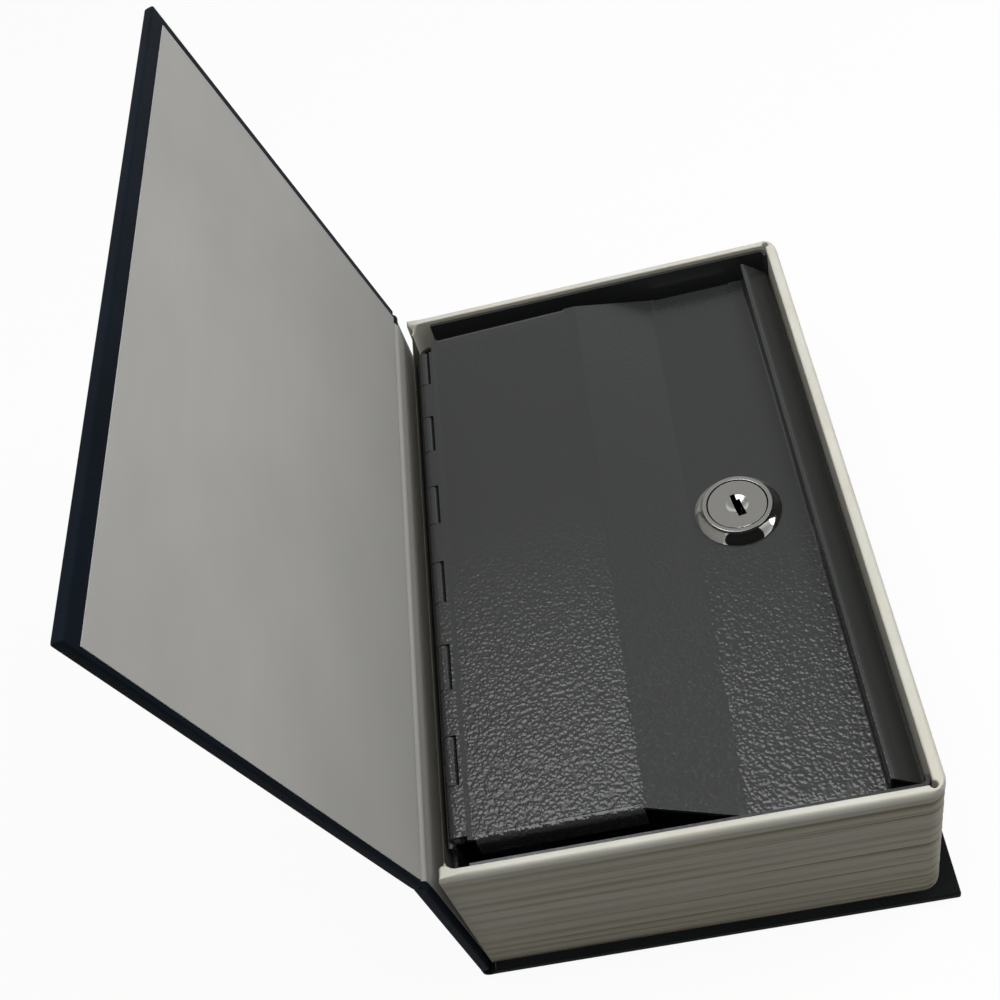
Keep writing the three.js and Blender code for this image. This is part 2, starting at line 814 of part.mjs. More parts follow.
// The line of a small compression spring, lying along the key's width
class SpringLine extends THREE.Curve {
  constructor(z) {
    super();
    this.z = z;
  }

  getPoint(t) {
    const turn = 2 * Math.PI * springTurns * t;
    const x = springOffset + springRadius * Math.cos(turn);
    const y = earPlace - springWire - waferClearance / 2 - t * (springLength - 2 * springWire);
    const point = new THREE.Vector3(x, y, this.z + springRadius * Math.sin(turn));
    return point.applyAxisAngle(new THREE.Vector3(0, 0, 1), radians(keywayAngle));
  }
}

function waferSpring(index) {
  const wire = new THREE.Shape();
  wire.absarc(0, 0, springWire, 0, 2 * Math.PI);
  const extrudePath = new SpringLine(waferHeight(index));
  const steps = springTurns * springSteps;
  const options = { steps, extrudePath, curveSegments: cornerSteps, bevelEnabled: false };
  return toSolid(new THREE.ExtrudeGeometry(wire, options));
}

function lockNut() {
  const outer = lockNutFlats / Math.sqrt(3);
  const under = -sheet;
  const nut = barZ(outer, under - lockNutThickness, under, 0, 0, hexSides);
  const bore = barrelRadius + lockHoleClearance;
  return nut.subtract(barZ(bore, under - lockNutThickness - cutMargin, under + cutMargin));
}

// The cam points along -Y when the lock is open
function lockCam() {
  const half = camWidth / 2;
  const hole = tailSize / 2 + tailClearance;
  const arm = roundedRectangle([-camLength, 0], half, half - weldTolerance, weldTolerance);
  const plate = alongZ(arm, camBottom, plugBottom).rotate([0, 0, 90]);
  return plate.add(barZ(camHubRadius, camBottom, plugBottom))
    .subtract(block([-hole, hole], [-hole, hole], [camBottom - cutMargin, plugBottom + cutMargin]));
}

function camWasher() {
  const hole = camScrewRadius + screwHoleClearance;
  return barZ(washerRadius, washerBottom, camBottom)
    .subtract(barZ(hole, washerBottom - cutMargin, camBottom + cutMargin, 0, 0, smallSides));
}

function camScrew() {
  const headBottom = washerBottom - camScrewHeadHeight;
  const end = camBottom + camScrewLength - screwHoleClearance;
  const across = camScrewHeadRadius + cutMargin;
  const half = driveSlotWidth / 2;
  const slotDepth = [headBottom - cutMargin, headBottom + driveSlotWidth];
  return turned([
    [0, headBottom],
    [camScrewCrown, headBottom],
    [camScrewHeadRadius, washerBottom - camScrewHeadHeight / 2],
    [camScrewHeadRadius, washerBottom],
    [camScrewRadius, washerBottom],
    [camScrewRadius, end],
    [0, end],
  ], smallSides).subtract(block([-across, across], [-half, half], slotDepth));
}

function lock() {
  const pieces = [
    part('lock_housing', lockHousing(), 'nickel'),
    part('lock_nut', lockNut(), 'zinc'),
    part('lock_plug', lockPlug(), 'nickel'),
    part('lock_cam', lockCam(), 'zinc'),
    part('cam_washer', camWasher(), 'zinc'),
    part('cam_screw', camScrew(), 'zinc'),
  ];
  for (let i = 0; i < waferCount; i += 1) {
    pieces.push(part(`wafer_${i + 1}`, wafer(i), 'brass'));
    pieces.push(part(`wafer_spring_${i + 1}`, waferSpring(i), 'zinc'));
  }
  const set = group(...pieces);
  set.position.set(lockX, 0, plateauZ);
  return set;
}

function rivets() {
  return rivetPlaces().map(([x, y], i) => {
    const mesh = part(`box_rivet_${i + 1}`, rivet(), 'zinc');
    mesh.position.set(x, y, 0);
    return mesh;
  });
}

const frontCover = swung(
  frontPivot,
  90 + coverLean,
  part('front_board', coverBoard(frontOuter, -1), 'greyboard'),
  part('front_cloth', coverCloth(frontOuter, -1), 'leatherette'),
  part('front_endpaper', frontEndpaper(), 'endpaper'),
);

const spineBoard = spineSlab(boardStart, boardStart + spineBoardThickness, bookHalf - boardStart);
const spineLining = spineSlab(liningStart, spineThickness, bookHalf - paperEndMargin);

const spine = swung(
  backPivot,
  spineLean,
  part('spine_board', spineBoard, 'greyboard'),
  part('spine_cloth', spineCloth(), 'leatherette'),
  part('spine_lining', spineLining, 'endpaper'),
  part('front_joint_cloth', frontJointCloth(), 'leatherette'),
  part('front_joint_lining', frontJointLining(), 'endpaper'),
  frontCover,
);

const model = group(
  part('back_board', coverBoard(0, 1), 'greyboard'),
  part('back_cloth', coverCloth(0, 1), 'leatherette'),
  part('back_joint_cloth', backJointCloth(), 'leatherette'),
  spine,
  part('page_frame', pageFrame(), 'ivory'),
  part('box_adhesive', boxAdhesive(), 'foam'),
  part('steel_box', steelBox(), 'hammertone'),
  part('strike_bracket', strikeBracket(), 'zinc'),
  ...rivets(),
  part('hinge_leaf', hingeLeaf(), 'hammertone'),
  part('hinge_pin', hingePin(), 'zinc'),
  part('lid', lidBody(), 'hammertone'),
  lock(),
);

export default model;
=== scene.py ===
# %% [markdown]
# # A hollow book with a steel cash box inside
#
# The object is a small hardcover book whose pages are a moulded plastic frame. The frame
# holds a steel box with a folded, hinged lid and a cam lock. The CAD model gives every
# piece its place, so this lesson only dresses it: a finer surface where the eye comes
# close, and a material for everything. The sizes of pieces are written in millimetres and
# turned into metres when a mesh is made; the camera, table and lamps stand in metres.

# %% Load the fixed frame
import bmesh
import bpy
import json
import math
import numpy as np
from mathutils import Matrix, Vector


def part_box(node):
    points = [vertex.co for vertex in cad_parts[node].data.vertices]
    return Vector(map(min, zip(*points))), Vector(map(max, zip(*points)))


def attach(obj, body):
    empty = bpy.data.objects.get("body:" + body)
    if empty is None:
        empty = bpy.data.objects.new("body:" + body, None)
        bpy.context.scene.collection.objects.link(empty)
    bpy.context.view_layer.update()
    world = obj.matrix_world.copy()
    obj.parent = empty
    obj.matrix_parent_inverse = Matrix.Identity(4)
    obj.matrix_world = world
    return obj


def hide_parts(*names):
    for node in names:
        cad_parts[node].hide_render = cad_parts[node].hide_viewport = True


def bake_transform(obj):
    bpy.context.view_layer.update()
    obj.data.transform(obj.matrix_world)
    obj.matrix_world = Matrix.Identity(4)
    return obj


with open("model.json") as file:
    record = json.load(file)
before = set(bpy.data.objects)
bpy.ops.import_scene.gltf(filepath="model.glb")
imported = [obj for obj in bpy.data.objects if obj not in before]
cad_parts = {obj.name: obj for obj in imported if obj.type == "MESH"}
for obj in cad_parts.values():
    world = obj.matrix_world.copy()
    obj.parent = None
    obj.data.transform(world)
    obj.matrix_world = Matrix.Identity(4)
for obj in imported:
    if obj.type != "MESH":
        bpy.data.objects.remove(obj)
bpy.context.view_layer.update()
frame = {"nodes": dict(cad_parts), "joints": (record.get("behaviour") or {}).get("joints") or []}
MM = 0.001

# %% [markdown]
# ## Camera
#
# The picture was taken from above the near side, a little to the right of the spine.
# A camera in Blender is an object with a place, a turn and a lens. The numbers come from
# fitting the book's straight edges, and the tiny shift puts the lens axis where it was.

# %% Place the camera
scene = bpy.context.scene
camera_data = bpy.data.cameras.new("camera")
camera_data.sensor_width = 36
camera_data.lens = 48.489
camera_data.shift_x = -0.0005
camera_data.shift_y = 0.0159
camera_data.clip_start = 0.01
camera = bpy.data.objects.new("camera", camera_data)
camera.location = (0.00974, -0.20915, 0.32466)
camera.rotation_euler = [math.radians(angle) for angle in (37.5556, 12.8155, -4.8896)]
scene.collection.objects.link(camera)
scene.camera = camera
scene.view_settings.view_transform = "Standard"
print("camera height above the table:", camera.location.z, "m")

# %% [markdown]
# ## Tools for materials
#
# A material is a small network of nodes. One helper turns a written sRGB colour into the
# linear values that nodes use, and one adds a node with its settings and links. Most
# patterns here end in the same way, as a share of a second colour laid over a first, so
# that step has a helper too.


# %% Colour and node helpers
def linear(code):
    """An sRGB hex code as linear RGBA: each channel is undone with the sRGB curve."""
    channels = [int(code[i:i + 2], 16) / 255 for i in (1, 3, 5)]
    curve = [c / 12.92 if c <= 0.04045 else ((c + 0.055) / 1.055) ** 2.4 for c in channels]
    return (*curve, 1.0)


def connect(tree, node, inputs):
    """Fills inputs with plain values, sockets, or nodes, whose first live output is meant."""
    for key, value in inputs.items():
        if isinstance(value, bpy.types.Node):
            value = next(socket for socket in value.outputs if socket.enabled)
        if isinstance(value, bpy.types.NodeSocket):
            tree.links.new(value, node.inputs[key])
        else:
            node.inputs[key].default_value = value


def add(tree, kind, inputs, **settings):
    """A new node with its settings; the inputs are given by name or number."""
    node = tree.nodes.new(kind)
    for name, value in settings.items():
        setattr(node, name, value)
    connect(tree, node, inputs)
    return node


def new_material(name, **principled):
    """A material, its node tree and its Principled node, whose sockets take fixed values."""
    material = bpy.data.materials.new(name)
    material.use_nodes = True
    tree = material.node_tree
    shader = tree.nodes["Principled BSDF"]
    for socket, value in principled.items():
        shader.inputs[socket.replace("_", " ")].default_value = value
    return material, tree, shader


def on_object(tree, scale=(1, 1, 1)):
    """Object coordinates with each axis multiplied, so a pattern can run along the piece."""
    place = add(tree, "ShaderNodeTexCoord", {}).outputs["Object"]
    return add(tree, "ShaderNodeMapping", {"Vector": place, "Scale": scale})


def tinted(tree, first, second, pattern, low, high, start=0.0, end=1.0):
    """A first colour with a share of a second one laid over it.

    The share goes from start to end as the pattern goes from low to high, and is held at
    both ends.
    """
    limits = {"Value": pattern, "From Min": low, "From Max": high, "To Min": start, "To Max": end}
    share = add(tree, "ShaderNodeMapRange", limits)
    colours = {"Factor": share, "A": first, "B": second}
    return add(tree, "ShaderNodeMix", colours, data_type="RGBA")


# %% [markdown]
# ## Covering: leatherette
#
# The covers are wrapped in leatherette, a paper or cloth coated with vinyl and embossed
# with a fine leather grain. The grain's cells are about half a millimetre wide. The
# coating gives a soft, broad sheen over a nearly black navy. A photograph of leather could
# give the grain too, but Voronoi cells need no file, have a real size and never repeat.


# %% Leatherette
def make_leatherette(name, dark, light):
    """Embossed vinyl: Voronoi cells for the grain, and soft clouds from dark to light."""
    material, tree, shader = new_material(name, Roughness=0.6, IOR=1.5, Specular_IOR_Level=0.04)
    place = on_object(tree)
    cells = {"Vector": place, "Scale": 1 / (0.55 * MM)}
    grain = add(tree, "ShaderNodeTexVoronoi", cells, feature="SMOOTH_F1")
    clouds = add(tree, "ShaderNodeTexNoise", {"Vector": place, "Scale": 1 / (18 * MM)})
    relief = {"Height": grain, "Distance": 0.08 * MM, "Strength": 0.8}
    connect(tree, shader, {
        "Base Color": tinted(tree, linear(dark), linear(light), clouds, 0.3, 0.7),
        "Normal": add(tree, "ShaderNodeBump", relief),
    })
    return material


leatherette = make_leatherette("navy leatherette", "#0D141B", "#121A22")
worn_leatherette = make_leatherette("navy leatherette, dulled by the table", "#141718", "#191B1B")
print("made", leatherette.name, "and", worn_leatherette.name)

# %% [markdown]
# ## Endpapers
#
# The inside of the cover is lined with a smooth, uncoated grey paper. Rollers leave very
# faint streaks along the spine, the pulp is a little cloudy, and its fibres give a fine,
# even tooth. Each of these is a layer of noise with its own size, so one can be changed
# without the others. Lower down, towards the joint, the paper is painted darker as shade.
# Real fibres are finer; here they are as coarse as they have to be to show.


# %% Endpaper
def make_paper():
    """Uncoated paper: soft clouds and faint streaks, painted shade towards the joint; fibres 0.3 mm
    wide.
    """
    material, tree, shader = new_material("grey endpaper", Roughness=0.9, IOR=1.45)
    clouds = {"Vector": on_object(tree, (1, 0.6, 1)), "Scale": 1 / (22 * MM)}
    streaks = {"Vector": on_object(tree, (1, 0.03, 1)), "Scale": 1 / (2.2 * MM), "Detail": 3.0}
    fibres = {"Vector": on_object(tree), "Scale": 1 / (0.3 * MM), "Detail": 4.0}
    clouds, streaks, fibres = (
        add(tree, "ShaderNodeTexNoise", sockets) for sockets in (clouds, streaks, fibres)
    )
    height = add(tree, "ShaderNodeSeparateXYZ", {"Vector": on_object(tree)}).outputs["Z"]
    tone = tinted(tree, linear("#B8B7B3"), linear("#C0BFBB"), clouds, 0.3, 0.7)
    tone = tinted(tree, tone, linear("#B9B8B4"), streaks, 0.4, 0.7, 0.0, 0.3)
    relief = {"Height": fibres, "Distance": 0.02 * MM, "Strength": 0.5}
    connect(tree, shader, {
        # Painted shade: the paper grows darker below 120 mm of height, towards the joint.
        "Base Color": tinted(tree, tone, linear("#9A9994"), height, 58 * MM, 120 * MM, 0.55, 0.0),
        "Normal": add(tree, "ShaderNodeBump", relief),
    })
    return material


paper = make_paper()
print("made", paper.name)

# %% [markdown]
# ## Page block: ivory plastic
#
# The block is an injection moulding in ivory ABS, textured so that it isn't glossy. The
# leaves differ slightly in tone, as the tool marks along them do. The faces are tinted a
# dull brown that deepens in the grooves, partly as dirt and partly as painted shade. The
# wall and rim beside the hinge, and a little the cavity, are darkened as painted shade.
# It could be painted on by hand, but here it is an attribute of each point, filled in when
# the block is made, so it follows the grooves. The mould's texture is drawn as coarse as
# it has to be to show.


# %% Ivory moulding
def make_ivory():
    """Matt ABS: flat bands of tone along the leaves, dirt and painted shade, and a fine spark-eroded
    bump.
    """
    material, tree, shader = new_material("ivory moulded ABS", Roughness=0.55, IOR=1.5)
    bands = {
        "Vector": on_object(tree, (0.05, 0.05, 1)), "Scale": 1 / (1.1 * MM), "Detail": 3.0,
        "Roughness": 0.6,
    }
    patches = {"Vector": on_object(tree), "Scale": 1 / (25 * MM)}
    texture = {"Vector": on_object(tree), "Scale": 1 / (0.25 * MM), "Detail": 3.0}
    bands, patches, texture = (
        add(tree, "ShaderNodeTexNoise", sockets) for sockets in (bands, patches, texture)
    )
    dirt_and_shade = add(tree, "ShaderNodeAttribute", {}, attribute_name="groove").outputs["Fac"]
    tone = tinted(tree, linear("#C9C8BB"), linear("#D6D5CB"), bands, 0.35, 0.65)
    tone = tinted(tree, tone, linear("#CCC7B9"), patches, 0.4, 0.75, 0.0, 0.6)
    # A dull brown over the faces that deepens in the grooves, partly dirt and partly painted shade; by
    # the hinge and in the cavity it is painted shade.
    tone = tinted(tree, tone, linear("#746A49"), dirt_and_shade, 0.0, 1.0, 0.0, 0.95)
    relief = {"Height": texture, "Distance": 0.015 * MM, "Strength": 0.5}
    connect(tree, shader, {
        # Painted shade: a near-black grey on the wall and rim beside the hinge, and a little in the
        # deepest grooves.
        "Base Color": tinted(tree, tone, linear("#3A3A36"), dirt_and_shade, 0.9, 2.0, 0.0, 0.95),
        "Normal": add(tree, "ShaderNodeBump", relief),
    })
    return material


ivory = make_ivory()
print("made", ivory.name)

# %% [markdown]
# ## Steel: hammer-finish paint
#
# The box and lid are folded from steel sheet and sprayed with a hammer-finish powder
# coat. As it melts, it draws into small swollen islands about 1 mm apart, with narrow
# dips between them. It is dark grey, fairly glossy, and rough only at this scale, so it
# sparkles where a lamp is mirrored. On the lid's rail it has flowed out smooth. Islands in
# the mesh would take millions of faces, so they are a bump, which only turns the light.


# %% Hammer finish
def make_hammered(name, smooth_from=None):
    """Powder coat: round cells, bent by noise, flatter to the far end and past a place on X."""
    material, tree, shader = new_material(
        name, Base_Color=linear("#2B2D2C"), Roughness=0.25, IOR=1.62,
    )
    place = on_object(tree)
    noise = {"Vector": place, "Scale": 1 / (1.5 * MM), "Detail": 1.0}
    bend = add(tree, "ShaderNodeTexNoise", noise).outputs["Color"]
    centred = add(
        tree, "ShaderNodeVectorMath", {0: bend, 1: (0.5, 0.5, 0.5)}, operation="SUBTRACT",
    )
    offset = add(
        tree, "ShaderNodeVectorMath", {0: centred, "Scale": 1.0 * MM}, operation="SCALE",
    )
    moved = add(tree, "ShaderNodeVectorMath", {0: place, 1: offset}, operation="ADD")
    cells = {"Vector": moved, "Scale": 1 / (0.98 * MM), "Smoothness": 0.4}
    islands = add(tree, "ShaderNodeTexVoronoi", cells, feature="SMOOTH_F1")
    height = add(tree, "ShaderNodeMapRange", {
        "Value": islands, "From Min": 0.1, "From Max": 0.75, "To Min": 1.0, "To Max": 0.0,
    })
    where = add(tree, "ShaderNodeSeparateXYZ", {"Vector": place}).outputs
    fades = [(where["Y"], -50, 15, 0.14)]
    if smooth_from is not None:
        fades.append((where["X"], smooth_from, smooth_from + 0.4, 0.12))
    for distance, full, faded, left in fades:
        fade = add(tree, "ShaderNodeMapRange", {
            "Value": distance, "From Min": full * MM, "From Max": faded * MM,
            "To Min": 1.0, "To Max": left,
        })
        height = add(tree, "ShaderNodeMath", {0: height, 1: fade}, operation="MULTIPLY")
    relief = {"Height": height, "Distance": 0.125 * MM, "Strength": 1.0}
    connect(tree, shader, {"Normal": add(tree, "ShaderNodeBump", relief)})
    return material


hammered = make_hammered("hammer-finish powder coat")
SMOOTH_ALL_OVER = -100
box_paint = make_hammered("hammer-finish powder coat, thin on the box", SMOOTH_ALL_OVER)
print("made", hammered.name, "and", box_paint.name)

# %% [markdown]
# ## Small metals, board and foam
#
# The lock is a zinc casting. Its bezel is polished and nickel plated, its plug is only
# plated, so it stays satin. The parts under the lid are zinc plated steel and brass. The
# cover boards are raw grey binder's board, and the box is bedded on white foam tape. The
# grain of each is drawn a little coarser than it is, so that it shows at all.


# %% Metals
def make_metal(name, code, roughness, cell=None, depth=0.0, stretch=(1, 1, 1)):
    """A metal of one colour, with an optional fine bump whose grain is one cell wide."""
    material, tree, shader = new_material(
        name, Base_Color=linear(code), Roughness=roughness, Metallic=1.0,
    )
    if cell:
        noise = {"Vector": on_object(tree, stretch), "Scale": 1 / (cell * MM), "Detail": 3.0}
        grain = add(tree, "ShaderNodeTexNoise", noise)
        relief = {"Height": grain, "Distance": depth * MM, "Strength": 0.6}
        connect(tree, shader, {"Normal": add(tree, "ShaderNodeBump", relief)})
    return material


bright_nickel = make_metal("polished nickel plate", "#C9C8C4", 0.06)
satin_nickel = make_metal("satin nickel plate", "#BDBCB8", 0.2, 0.22, 0.003)
zinc = make_metal("zinc plated steel", "#B9BCC0", 0.38, 0.35, 0.01, (1, 1, 0.2))
brass = make_metal("sheet brass", "#C9A961", 0.35, 0.2, 0.008)
# Painted shade: a near-black zinc for the slot and the bore round the plug's head, where shade falls.
shade_black_zinc = make_metal("near-black zinc for painted shade", "#1E1E1E", 0.5)
print("made", [metal.name for metal in (bright_nickel, satin_nickel, zinc, brass, shade_black_zinc)])


# %% Board and foam
def make_matt(name, dark, light, cell, depth):
    """A matt fibrous or foamed stuff: two tones mixed by noise, and a bump as coarse."""
    material, tree, shader = new_material(name, Roughness=0.95, IOR=1.45)
    noise = {
        "Vector": on_object(tree), "Scale": 1 / (cell * MM), "Detail": 4.0, "Roughness": 0.65,
    }
    grain = add(tree, "ShaderNodeTexNoise", noise)
    relief = {"Height": grain, "Distance": depth * MM, "Strength": 0.6}
    connect(tree, shader, {
        "Base Color": tinted(tree, linear(dark), linear(light), grain, 0.3, 0.7),
        "Normal": add(tree, "ShaderNodeBump", relief),
    })
    return material


greyboard = make_matt("binder's board", "#7F7A70", "#948F84", 1.2, 0.05)
foam = make_matt("foam tape", "#D2D0C8", "#DEDCD6", 0.5, 0.1)
print("made", greyboard.name, "and", foam.name)

# %% [markdown]
# ## From arrays to pieces
#
# Every new piece is worked out as whole arrays of points. One helper joins a grid of
# points with quads, a second one makes a plate with holes from two such grids, a third
# joins rings into a skin, and a fourth puts points and faces into a mesh, seals it and
# gives it a body and a material.


# %% Grids and plates
def grid_quads(rows, columns, wrap_rows=False, wrap_columns=False):
    """Four corners for each cell of a grid; a wrapped side joins its end to its start."""
    i = np.arange(rows if wrap_rows else rows - 1)[:, None]
    j = np.arange(columns if wrap_columns else columns - 1)[None, :]
    up, right = (i + 1) % rows, (j + 1) % columns
    corners = (i * columns + j, i * columns + right, up * columns + right, up * columns + j)
    return np.stack(np.broadcast_arrays(*corners), axis=-1).reshape(-1, 4)


def plate(top, bottom, keep):
    """A plate between two grids of points, with walls wherever a kept cell ends.

    A wall stands on each side that only one kept cell has. The sides of all kept cells
    are listed, sorted and counted to find them.
    """
    rows, columns, _ = top.shape
    quads = grid_quads(rows, columns)[keep.reshape(-1)]
    sides = np.concatenate([quads[:, [k, (k + 1) % 4]] for k in range(4)])
    key = np.sort(sides, axis=1)
    _, first, count = np.unique(key, axis=0, return_index=True, return_counts=True)
    rim = sides[first[count == 1]]
    total = rows * columns
    walls = np.column_stack([rim[:, 1], rim[:, 0], rim[:, 0] + total, rim[:, 1] + total])
    points = np.concatenate([top.reshape(-1, 3), bottom.reshape(-1, 3)])
    return points, np.concatenate([quads, quads[:, ::-1] + total, walls])


def tube(sections, wrap=False):
    """Rings of points joined into a skin, with a flat cap on each end unless it wraps."""
    rows, columns, _ = sections.shape
    faces = grid_quads(rows, columns, wrap, True).tolist()
    if not wrap:
        faces += [list(range(columns))[::-1], list(range((rows - 1) * columns, rows * columns))]
    return sections.reshape(-1, 3), faces


# %% Points into a mesh
MERGE_DISTANCE = 1e-7


def make_piece(name, points, faces, body, material, nodes, sharp=35.0):
    """A sealed mesh at the origin, smooth except at folds sharper than the given angle.

    It takes the place of the named nodes.
    """
    mesh = bpy.data.meshes.new(name)
    mesh.from_pydata((np.asarray(points) * MM).tolist(), [], [list(f) for f in faces])
    cleaner = bmesh.new()
    cleaner.from_mesh(mesh)
    bmesh.ops.remove_doubles(cleaner, verts=cleaner.verts, dist=MERGE_DISTANCE)
    loose = [v for v in cleaner.verts if not v.link_faces]
    bmesh.ops.delete(cleaner, geom=loose, context="VERTS")
    bmesh.ops.dissolve_degenerate(cleaner, edges=cleaner.edges, dist=MERGE_DISTANCE)
    bmesh.ops.recalc_face_normals(cleaner, faces=cleaner.faces)
    open_edges = sum(not e.is_manifold for e in cleaner.edges)
    cleaner.to_mesh(mesh)
    cleaner.free()
    mesh.shade_smooth()
    mesh.set_sharp_from_angle(angle=math.radians(sharp))
    mesh.materials.append(material)
    piece = bpy.data.objects.new(name, mesh)
    scene.collection.objects.link(piece)
    if body:
        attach(piece, body)
    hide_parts(*nodes)
    print(f"{name}: {len(mesh.polygons)} faces, {open_edges} open edges")
    return piece


def repaint(piece, material, chosen):
    """Gives another material to the faces whose centres (rows of x, y, z in mm) are chosen."""
    faces = piece.data.polygons
    centres, index = np.empty(len(faces) * 3), np.zeros(len(faces), int)
    faces.foreach_get("center", centres)
    faces.foreach_get("material_index", index)
    piece.data.materials.append(material)
    index[chosen(centres.reshape(-1, 3) / MM)] = len(piece.data.materials) - 1
    faces.foreach_set("material_index", index)


# %% [markdown]
# ## The case: covers and spine
#
# A book's case is board wrapped in one skin, so its edges are round and the skin runs on
# across the joints. Seen from the end it is a long line with a thickness: thick over the
# boards, thin and dipped at the joints. That line is carried along as a row of flat
# sections. Each section is a rectangle with round corners, as long as the book, and the
# last few shrink to round off the fore edge. Boxes with a Bevel modifier would give the
# boards, but they would part at the joints, where one skin bends without a gap.


# %% Sizes read from the frame
def pivot(joint):
    """X and Z of a joint's axis, in mm."""
    return np.array(joint["pos_m"])[[0, 2]] / MM


def in_mm(corners):
    """The two corners of a box in metres, as arrays in mm."""
    return [np.array(corner) / MM for corner in corners]


joints = {joint["name"]: joint for joint in frame["joints"]}
foot, head = pivot(joints["spine_hinge"]), pivot(joints["cover_hinge"])
spine_up = (head - foot) / np.linalg.norm(head - foot)
spine_lean = math.atan2(-spine_up[0], spine_up[1])
shut_from_straight = -joints["cover_hinge"]["range_deg"][0]
cover_lean = spine_lean + math.radians(shut_from_straight - 90)
cover_up = np.array([-math.sin(cover_lean), math.cos(cover_lean)])
fore_edge, book_half, back_thickness = in_mm(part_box("back_cloth"))[1]
cover_length = fore_edge - foot[0]
hinge_depth = foot[1]
print("spine leans", round(math.degrees(spine_lean), 2), "degrees")
print("cover leans", round(math.degrees(cover_lean), 2), "degrees")


# %% A slab with round edges, carried along a line
def slab_rings(outer, inner, near, far, radius, steps=4):
    """Flat rings between an outer and an inner line (rows of x, z), from near to far in y.

    Each ring goes round a rectangle. Its corners are quarter circles of the given radius,
    or of half the thickness where that is less.
    """
    outer, inner = np.asarray(outer, float), np.asarray(inner, float)
    rows = len(outer)
    near, far = np.broadcast_to(near, rows), np.broadcast_to(far, rows)
    across = inner - outer
    thick = np.linalg.norm(across, axis=1)
    round_off = np.minimum(radius, thick * 0.499)
    angle = np.linspace(0, math.pi / 2, steps + 1)
    side, cap = np.cos(angle), np.sin(angle)
    y, t = [], []
    for y_end, y_sign, t_end, t_sign, sweep in (
        (near, 1, np.zeros(rows), 1, (cap, side)),
        (far, -1, np.zeros(rows), 1, (side, cap)),
        (far, -1, thick, -1, (cap, side)),
        (near, 1, thick, -1, (side, cap)),
    ):
        y.append(y_end[:, None] + y_sign * round_off[:, None] * (1 - sweep[1]))
        t.append(t_end[:, None] + t_sign * round_off[:, None] * (1 - sweep[0]))
    y, t = np.concatenate(y, axis=1), np.concatenate(t, axis=1) / thick[:, None]
    x = outer[:, :1] + t * across[:, :1]
    z = outer[:, 1:] + t * across[:, 1:]
    return np.stack([x, y, z], axis=-1)


def eased(value, start, end):
    """0 before start, 1 after end, and a smooth S between them."""
    t = np.clip((value - start) / (end - start), 0, 1)
    return t * t * (3 - 2 * t)


# %% [markdown]
# The distance along the case is counted from the foot of the spine. Up to the head of
# the spine it follows the spine's slope, and after it the cover's. Between the two, the
# direction turns smoothly over the few millimetres of the joint.

# %% The line of the spine and the front cover
SPINE_LENGTH = float(np.linalg.norm(head - foot))
JOINT_REACH = 1.8
EDGE_ROUND = 0.5


def along_case(s):
    """Pivot-line point and inward normal at each distance s along the spine and cover."""
    s = np.asarray(s, float)
    turn = eased(s, SPINE_LENGTH - JOINT_REACH, SPINE_LENGTH + JOINT_REACH)
    lean = spine_lean + (cover_lean - spine_lean) * turn
    point = np.where(
        (s < SPINE_LENGTH)[:, None],
        foot + s[:, None] * spine_up,
        head + (s - SPINE_LENGTH)[:, None] * cover_up,
    )
    normal = np.stack([np.cos(lean), np.sin(lean)], axis=1)
    return point, normal


def case_faces(s):
    """How far the skin's outer and inner faces lie inward of the pivot line.

    Over the boards both are flat. Between them the skin and the paper swell in a low
    roll next to the spine, and dip in a narrow valley at the end of the cover's board.
    """
    past = s - SPINE_LENGTH
    on_cover = eased(past, 0.5, 1.9)
    roll = np.exp(-(((past + 1.0) / 1.2) ** 2))
    valley = np.exp(-(((past - 0.8) / 0.55) ** 2))
    outer = -hinge_depth + 0.12 * valley
    inner = 0.6 + 0.4 * on_cover + 0.45 * roll - 0.5 * valley
    return outer, inner


def case_stations(start, spine_rows, end, cover_rows):
    """Distances along the case from start to end, close together at the joint."""
    return np.concatenate([
        np.linspace(start, SPINE_LENGTH - 4, spine_rows),
        np.linspace(SPINE_LENGTH - 3.6, SPINE_LENGTH + 3.6, 37),
        np.linspace(SPINE_LENGTH + 4.5, end, cover_rows),
    ])


# %% Build the front part of the case
END_DRAW = 0.8


def round_end(length, radius, steps=6):
    """Distances from the end, and how much each side draws in there, on a quarter circle."""
    angle = np.linspace(0, math.pi / 2, steps + 1)
    return length - radius * (1 - np.sin(angle)), radius * (1 - np.cos(angle))


def build_front_case():
    """Sections from the foot of the spine to the cover's fore edge."""
    total = SPINE_LENGTH + cover_length
    edge_s, edge_draw = round_end(total, EDGE_ROUND)
    start_s, start_draw = JOINT_REACH + np.array([0.0, 0.15, 0.5]), [0.45, 0.15, 0.0]
    body_s = case_stations(4, 12, total - 1.5, 24)
    s = np.concatenate([start_s, body_s, edge_s])
    draw = np.concatenate([start_draw, np.zeros(len(body_s)), edge_draw])
    point, normal = along_case(s)
    outer_offset, inner_offset = case_faces(s)
    outer = point + normal * (outer_offset + draw)[:, None]
    inner = point + normal * (inner_offset - draw)[:, None]
    half = book_half - draw * END_DRAW
    rings = slab_rings(outer, inner, -half, half, EDGE_ROUND)
    points, faces = tube(rings)
    piece = make_piece(
        "case_spine_and_front", points, faces, None, leatherette,
        ("spine_cloth", "front_joint_cloth", "front_cloth"),
    )
    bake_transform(piece)


build_front_case()

# %% [markdown]
# The back cover is the same kind of slab. At the foot of the spine its skin turns up in
# a quarter circle, thin enough to bend, and meets the spine.


# %% Build the back part of the case
SKIN = 0.7


